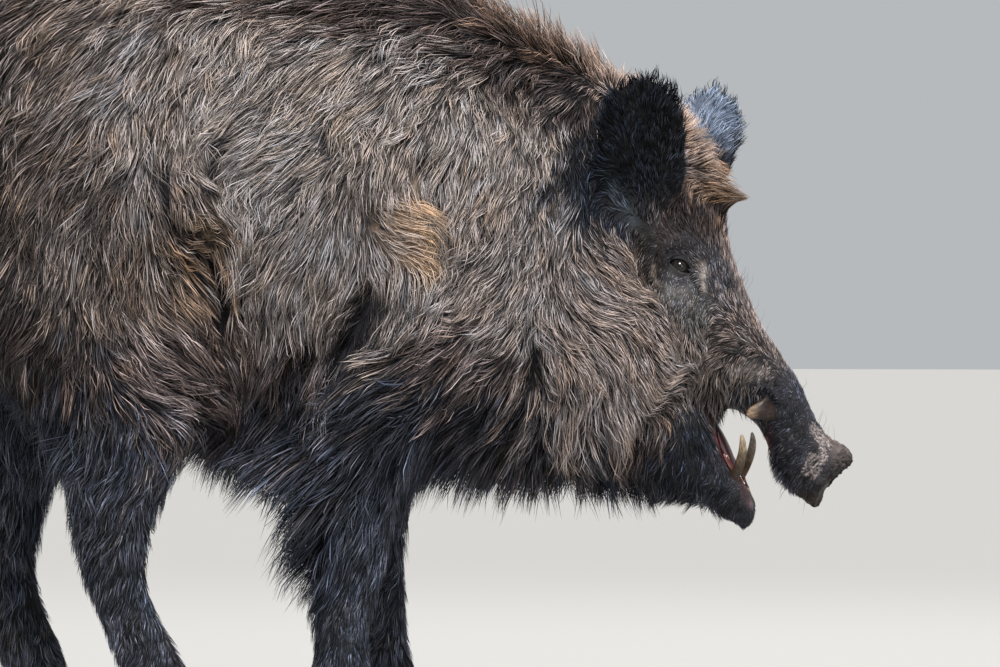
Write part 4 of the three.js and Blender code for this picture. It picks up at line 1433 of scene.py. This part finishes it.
CORNEA, CORNEA_BULGE = 0.0072, 0.0011  # radius of the clear front, and how far it stands out
IRISES = ((0.0075, (9, 7, 7)), (0.0066, (17, 12, 10)))  # its dark edge, then the iris itself
PUPIL_HALVES = (0.0042, 0.0028)
PUPIL = (3, 3, 4)
WHITE_OF_EYE = (26, 21, 22)


def eye_finish():
    """Smooth and wet, with fine flecks."""
    finish = Finish("boar_eye")
    tint = finish.times(finish.layer("Tint"), finish.between(finish.noise(1600, 2), 0.75, 1.3))
    finish.set({"Base Color": tint, "Roughness": 0.14, "Specular IOR Level": 0.35})
    finish.set({"Coat Weight": 0.25, "Coat Roughness": 0.03})
    return finish.material


def eyeball(name, sign, finish):
    bpy.ops.mesh.primitive_uv_sphere_add(segments=72, ring_count=48, radius=EYE_RADIUS)
    ball = bpy.context.object
    ball.name = name
    ball.data.name = name
    co = points_of(ball)
    forward, upward, height = co.T
    in_front = height > 0
    off_axis = np.hypot(forward, upward)
    bulge = np.where(in_front, np.maximum(1 - (off_axis / CORNEA) ** 2, 0), 0)
    co = co + np.array((0, 0, 1)) * (bulge * CORNEA_BULGE)[:, None]
    shade = np.tile(linear(WHITE_OF_EYE), (len(co), 1))
    for radius, colour in IRISES:
        inside = (1 - ease(radius - 0.0005, radius + 0.0005, off_axis)) * in_front
        shade = tinted(shade, colour, inside)
    along, across = slanted(forward, upward)
    half_length, half_height = PUPIL_HALVES
    pupil = 1 - ease(0.85, 1.15, np.hypot(along / half_length, across / half_height))
    shade = tinted(shade, PUPIL, pupil * in_front)
    set_points(ball, co @ eye_frames[sign] + np.array((EYE.x, sign * EYE.y, EYE.z)))
    paint_vertices(ball, shade)
    edit_whole(ball)
    bpy.ops.mesh.normals_make_consistent(inside=False)
    close_edit()
    bpy.ops.object.shade_smooth()
    ball.data.materials.append(finish)
    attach(ball, "root")
    return ball


glassy = eye_finish()
for side in ("right", "left"):
    deselect()
    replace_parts(eyeball(f"eyeball_{side}", side_of(side), glassy), f"eye_{side}")


# ---- tusks ----
# Ivory canines, ochre with brown streaks along their length: the upper pair is stout and worn,
# the lower pair slim and pale at the tip.


def rounded(nodes, name, levels, creased=None):
    """A finer, rounded copy of CAD nodes; creased() picks the vertices whose edges stay sharp."""
    piece = copy_of(nodes, name)
    if creased:
        crease = piece.data.attributes.new("crease_edge", "FLOAT", "EDGE")
        ends = values_of(piece.data.edges, "vertices", 2, int)
        sharp = creased(points_of(piece))[ends].all(1)
        crease.data.foreach_set("value", sharp.astype(np.float32))
    smooth = piece.modifiers.new("smooth", "SUBSURF")
    smooth.levels = smooth.render_levels = levels
    apply_all(piece)
    bpy.ops.object.shade_smooth()
    return piece


def tusk_finish(name, grain):
    """Ivory whose streaks run along the axis that grain stretches."""
    finish = Finish(name)
    streaks = finish.between(finish.noise(420, 4, 0.75, grain), 0.35, 1.45, 0.36, 0.66)
    finish.set({"Base Color": finish.times(finish.layer("Tint"), streaks)})
    finish.set({"Roughness": finish.between(finish.noise(500, 3), 0.4, 0.6)})
    finish.set({"Coat Weight": 0.08, "Coat Roughness": 0.3, "Specular IOR Level": 0.35})
    finish.set({"Normal": finish.bump(streaks, 0.25, 0.0004)})
    return finish.material


# Each tusk: streaks, colour at the root and at the tip. The left lower one is much paler: painted light
# where it stands in shade.
IVORY = {
    "upper": (tusk_finish("boar_tusk_upper", (0.3, 0.3, 1)), (46, 36, 30), (122, 101, 82)),
    "lower": (tusk_finish("boar_tusk_lower", (1, 1, 0.16)), (60, 46, 34), (168, 148, 120)),
}
PAINTED_LIGHT_TUSK = ((112, 86, 62), (244, 232, 212))
FACET_SHADE = (34, 20, 17)
for side in ("right", "left"):
    sign = side_of(side)
    for jaw, (ivory, ochre, pale) in IVORY.items():
        node = f"tusk_{jaw}_{side}"
        # the left lower tusk takes the paler colours of painted light
        if node == "tusk_lower_left":
            ochre, pale = PAINTED_LIGHT_TUSK
        tusk = rounded([node], f"{node}_ivory", 3)
        co = points_of(tusk)
        x, y, z = co.T
        low, high = co.min(0), co.max(0)
        if jaw == "upper":
            # the root runs back under the lip; the crown is worn to a wedge, with a band of painted shade
            # down its facet
            y -= sign * 0.014 * ease(0.517, 0.534, x)
            z += (z - 0.402) * 0.3 * ease(0.53, 0.515, x) - 0.3 * np.maximum(0.513 - x, 0)
            x += (0.519 - x) * 0.6 * ease(0.4, 0.418, z) - 0.005 * ease(0.515, 0.504, x)
            toward_tip = ease(0.516, 0.5, x)
            across = x - 0.5165 - (z - 0.4) * 0.25
            facet_shade = ease(0.0055, 0.0035, np.abs(across)) * ease(0.414, 0.408, z)
        else:
            toward_tip = ease(0.35, 1, (z - low[2]) / (high[2] - low[2]))
            facet_shade = np.zeros(len(co))
        set_points(tusk, np.stack([x, y, z], 1))
        shade = linear(ochre) + (linear(pale) - linear(ochre)) * toward_tip[:, None]
        # painted shade in the facet's dark band
        shade += (linear(FACET_SHADE) - shade) * 0.9 * facet_shade[:, None]
        paint_vertices(tusk, shade)
        tusk.data.materials.append(ivory)
        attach(tusk, "root")
        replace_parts(tusk, node)


# ---- tongue, gum and lower teeth ----
# Wet red flesh in the trough of the lower jaw, with a row of short stained teeth in the gum.


def mouth_finish(name, roughness):
    """Wet flesh, mottled and finely pitted."""
    finish = Finish(name)
    mottle = finish.between(finish.noise(260, 4), 0.7, 1.3)
    finish.set({"Base Color": finish.times(finish.layer("Tint"), mottle), "Roughness": roughness})
    finish.set({"Coat Weight": 0.5, "Coat Roughness": 0.15, "Subsurface Weight": 0.1})
    finish.set({"Subsurface Radius": (0.004, 0.0015, 0.001)})
    finish.set({"Normal": finish.bump(finish.noise(900, 3), 0.35, 0.0006)})
    return finish.material


TONGUE, GUM, ENAMEL = (52, 27, 29), (78, 33, 34), (142, 124, 96)
tongue = rounded(["tongue"], "tongue_flesh", 2)
paint_vertices(tongue, np.tile(linear(TONGUE), (len(tongue.data.vertices), 1)))
tongue.data.materials.append(mouth_finish("boar_tongue", 0.35))
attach(tongue, "root")
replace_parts(tongue, "tongue")

# Middle of the gum's left half, from its back end to the front teeth. Millimetres.
GUM_ARCH = [(466, 21, 352), (482, 19, 324), (493, 0, 302)]
teeth = rounded(["teeth_lower"], "gum_and_teeth", 1)
co = points_of(teeth)
arch = np.array(GUM_ARCH) / 1000
steps = np.concatenate([np.linspace(a, b, 12) for a, b in zip(arch[:-1], arch[1:])])
mirrored = np.stack([co[:, 0], np.abs(co[:, 1]), co[:, 2]], 1)
off_steps = np.sqrt(((mirrored[:, None] - steps) ** 2).sum(2))
enamel = ease(0.0045, 0.0065, off_steps.min(1))[:, None]
paint_vertices(teeth, linear(GUM) + (linear(ENAMEL) - linear(GUM)) * enamel)
# the teeth are worn short and the gum lies a little behind the lip
WEAR, GUM_DROP = 0.45, 0.004
in_gum = steps[off_steps.argmin(1)]
in_gum[:, 1] *= np.sign(co[:, 1])
worn = in_gum + (co - in_gum) * (1 - WEAR * enamel)
set_points(teeth, worn - np.array((0.76, 0, 0.65)) * GUM_DROP)
teeth.data.materials.append(mouth_finish("boar_gum", 0.3))
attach(teeth, "root")
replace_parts(teeth, "teeth_lower")


# ---- hooves and dewclaws ----
# Black-brown horn, with growth rings round the wall and paler worn edges at the sole. Each
# foot stands on two cloven halves; the dewclaws hang behind, clear of the floor.


def horn_finish():
    """Dark horn with rings round it, paler where the lowest centimetre is worn."""
    finish = Finish("boar_horn")
    place = finish.node("TexCoord").outputs["Object"]
    up = finish.node("SeparateXYZ", {"Vector": place}).outputs["Z"]
    ring_inputs = {"Vector": place, "Scale": 95, "Distortion": 3.5, "Detail": 3}
    rings = finish.node("TexWave", ring_inputs, bands_direction="Z").outputs["Fac"]
    worn = finish.between(up, 1, 0, 0, 0.012)
    dark = finish.ramp(finish.noise(120, 5, 0.65), (0, (20, 17, 17)), (1, (54, 47, 42)))
    finish.set({"Base Color": finish.mixed(worn, dark, (*linear((80, 71, 62)), 1))})
    finish.set({"Roughness": finish.between(rings, 0.42, 0.68)})
    finish.set({"Normal": finish.bump(rings, 0.35, 0.0008)})
    return finish.material


SOLE = 0.0005  # the vertices below this height make the flat sole


def on_sole(co):
    return co[:, 2] < SOLE


horn = horn_finish()
for leg in LEGS:
    for digit in ("inner", "outer"):
        for kind in ("hoof", "dewclaw"):
            node = f"{kind}_{leg}_{digit}"
            piece = rounded([node], f"{node}_horn", 2, on_sole if kind == "hoof" else None)
            if kind == "dewclaw":
                # its root leans forward into the pastern
                co = points_of(piece)
                co[:, 0] += 0.006 * ease(0.045, 0.07, co[:, 2])
                set_points(piece, co)
            piece.data.materials.append(horn)
            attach(piece, "root")
            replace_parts(piece, node)


# ---- floor and light ----
# A plain pale floor under a grey sky, a broad soft light from above, a fill from ahead and
# one from behind.

bpy.ops.mesh.primitive_plane_add(size=60)
floor = bpy.context.object
floor.name = "floor"
pale = Finish("studio_floor")
pale.set({"Base Color": (*linear((160, 159, 156)), 1), "Roughness": 0.9})
floor.data.materials.append(pale.material)

world = bpy.data.worlds.new("studio")
bpy.context.scene.world = world
world.use_nodes = True
sky = world.node_tree.nodes["Background"]
sky.inputs["Color"].default_value = (0.76, 0.79, 0.82, 1)
sky.inputs["Strength"].default_value = 0.62


def light(name, place, target, power, colour, size=None):
    """A lamp with a rectangular face of the given size, or a sun if it has none."""
    data = bpy.data.lights.new(name, "AREA" if size else "SUN")
    data.energy = power
    data.color = colour
    if size:
        data.shape = "RECTANGLE"
        data.size, data.size_y = size
    lamp = bpy.data.objects.new(name, data)
    lamp.location = place
    lamp.rotation_euler = (Vector(target) - Vector(place)).to_track_quat("-Z", "Y").to_euler()
    bpy.context.scene.collection.objects.link(lamp)
    return data


overcast = light("overcast", (0.9, -2.3, 4.2), (0.1, 0, 0.6), 5.5, (1, 0.977, 0.96))
overcast.angle = math.radians(16)
light("fill", (3.2, -2.4, 1.4), (0.4, 0, 0.5), 26, (0.94, 0.97, 1), (2, 1.6))
light("rim", (0.4, 2.6, 2.6), (0.2, 0, 0.7), 40, (0.95, 0.98, 1), (2.4, 1.2))
bpy.context.scene.view_settings.view_transform = "Standard"
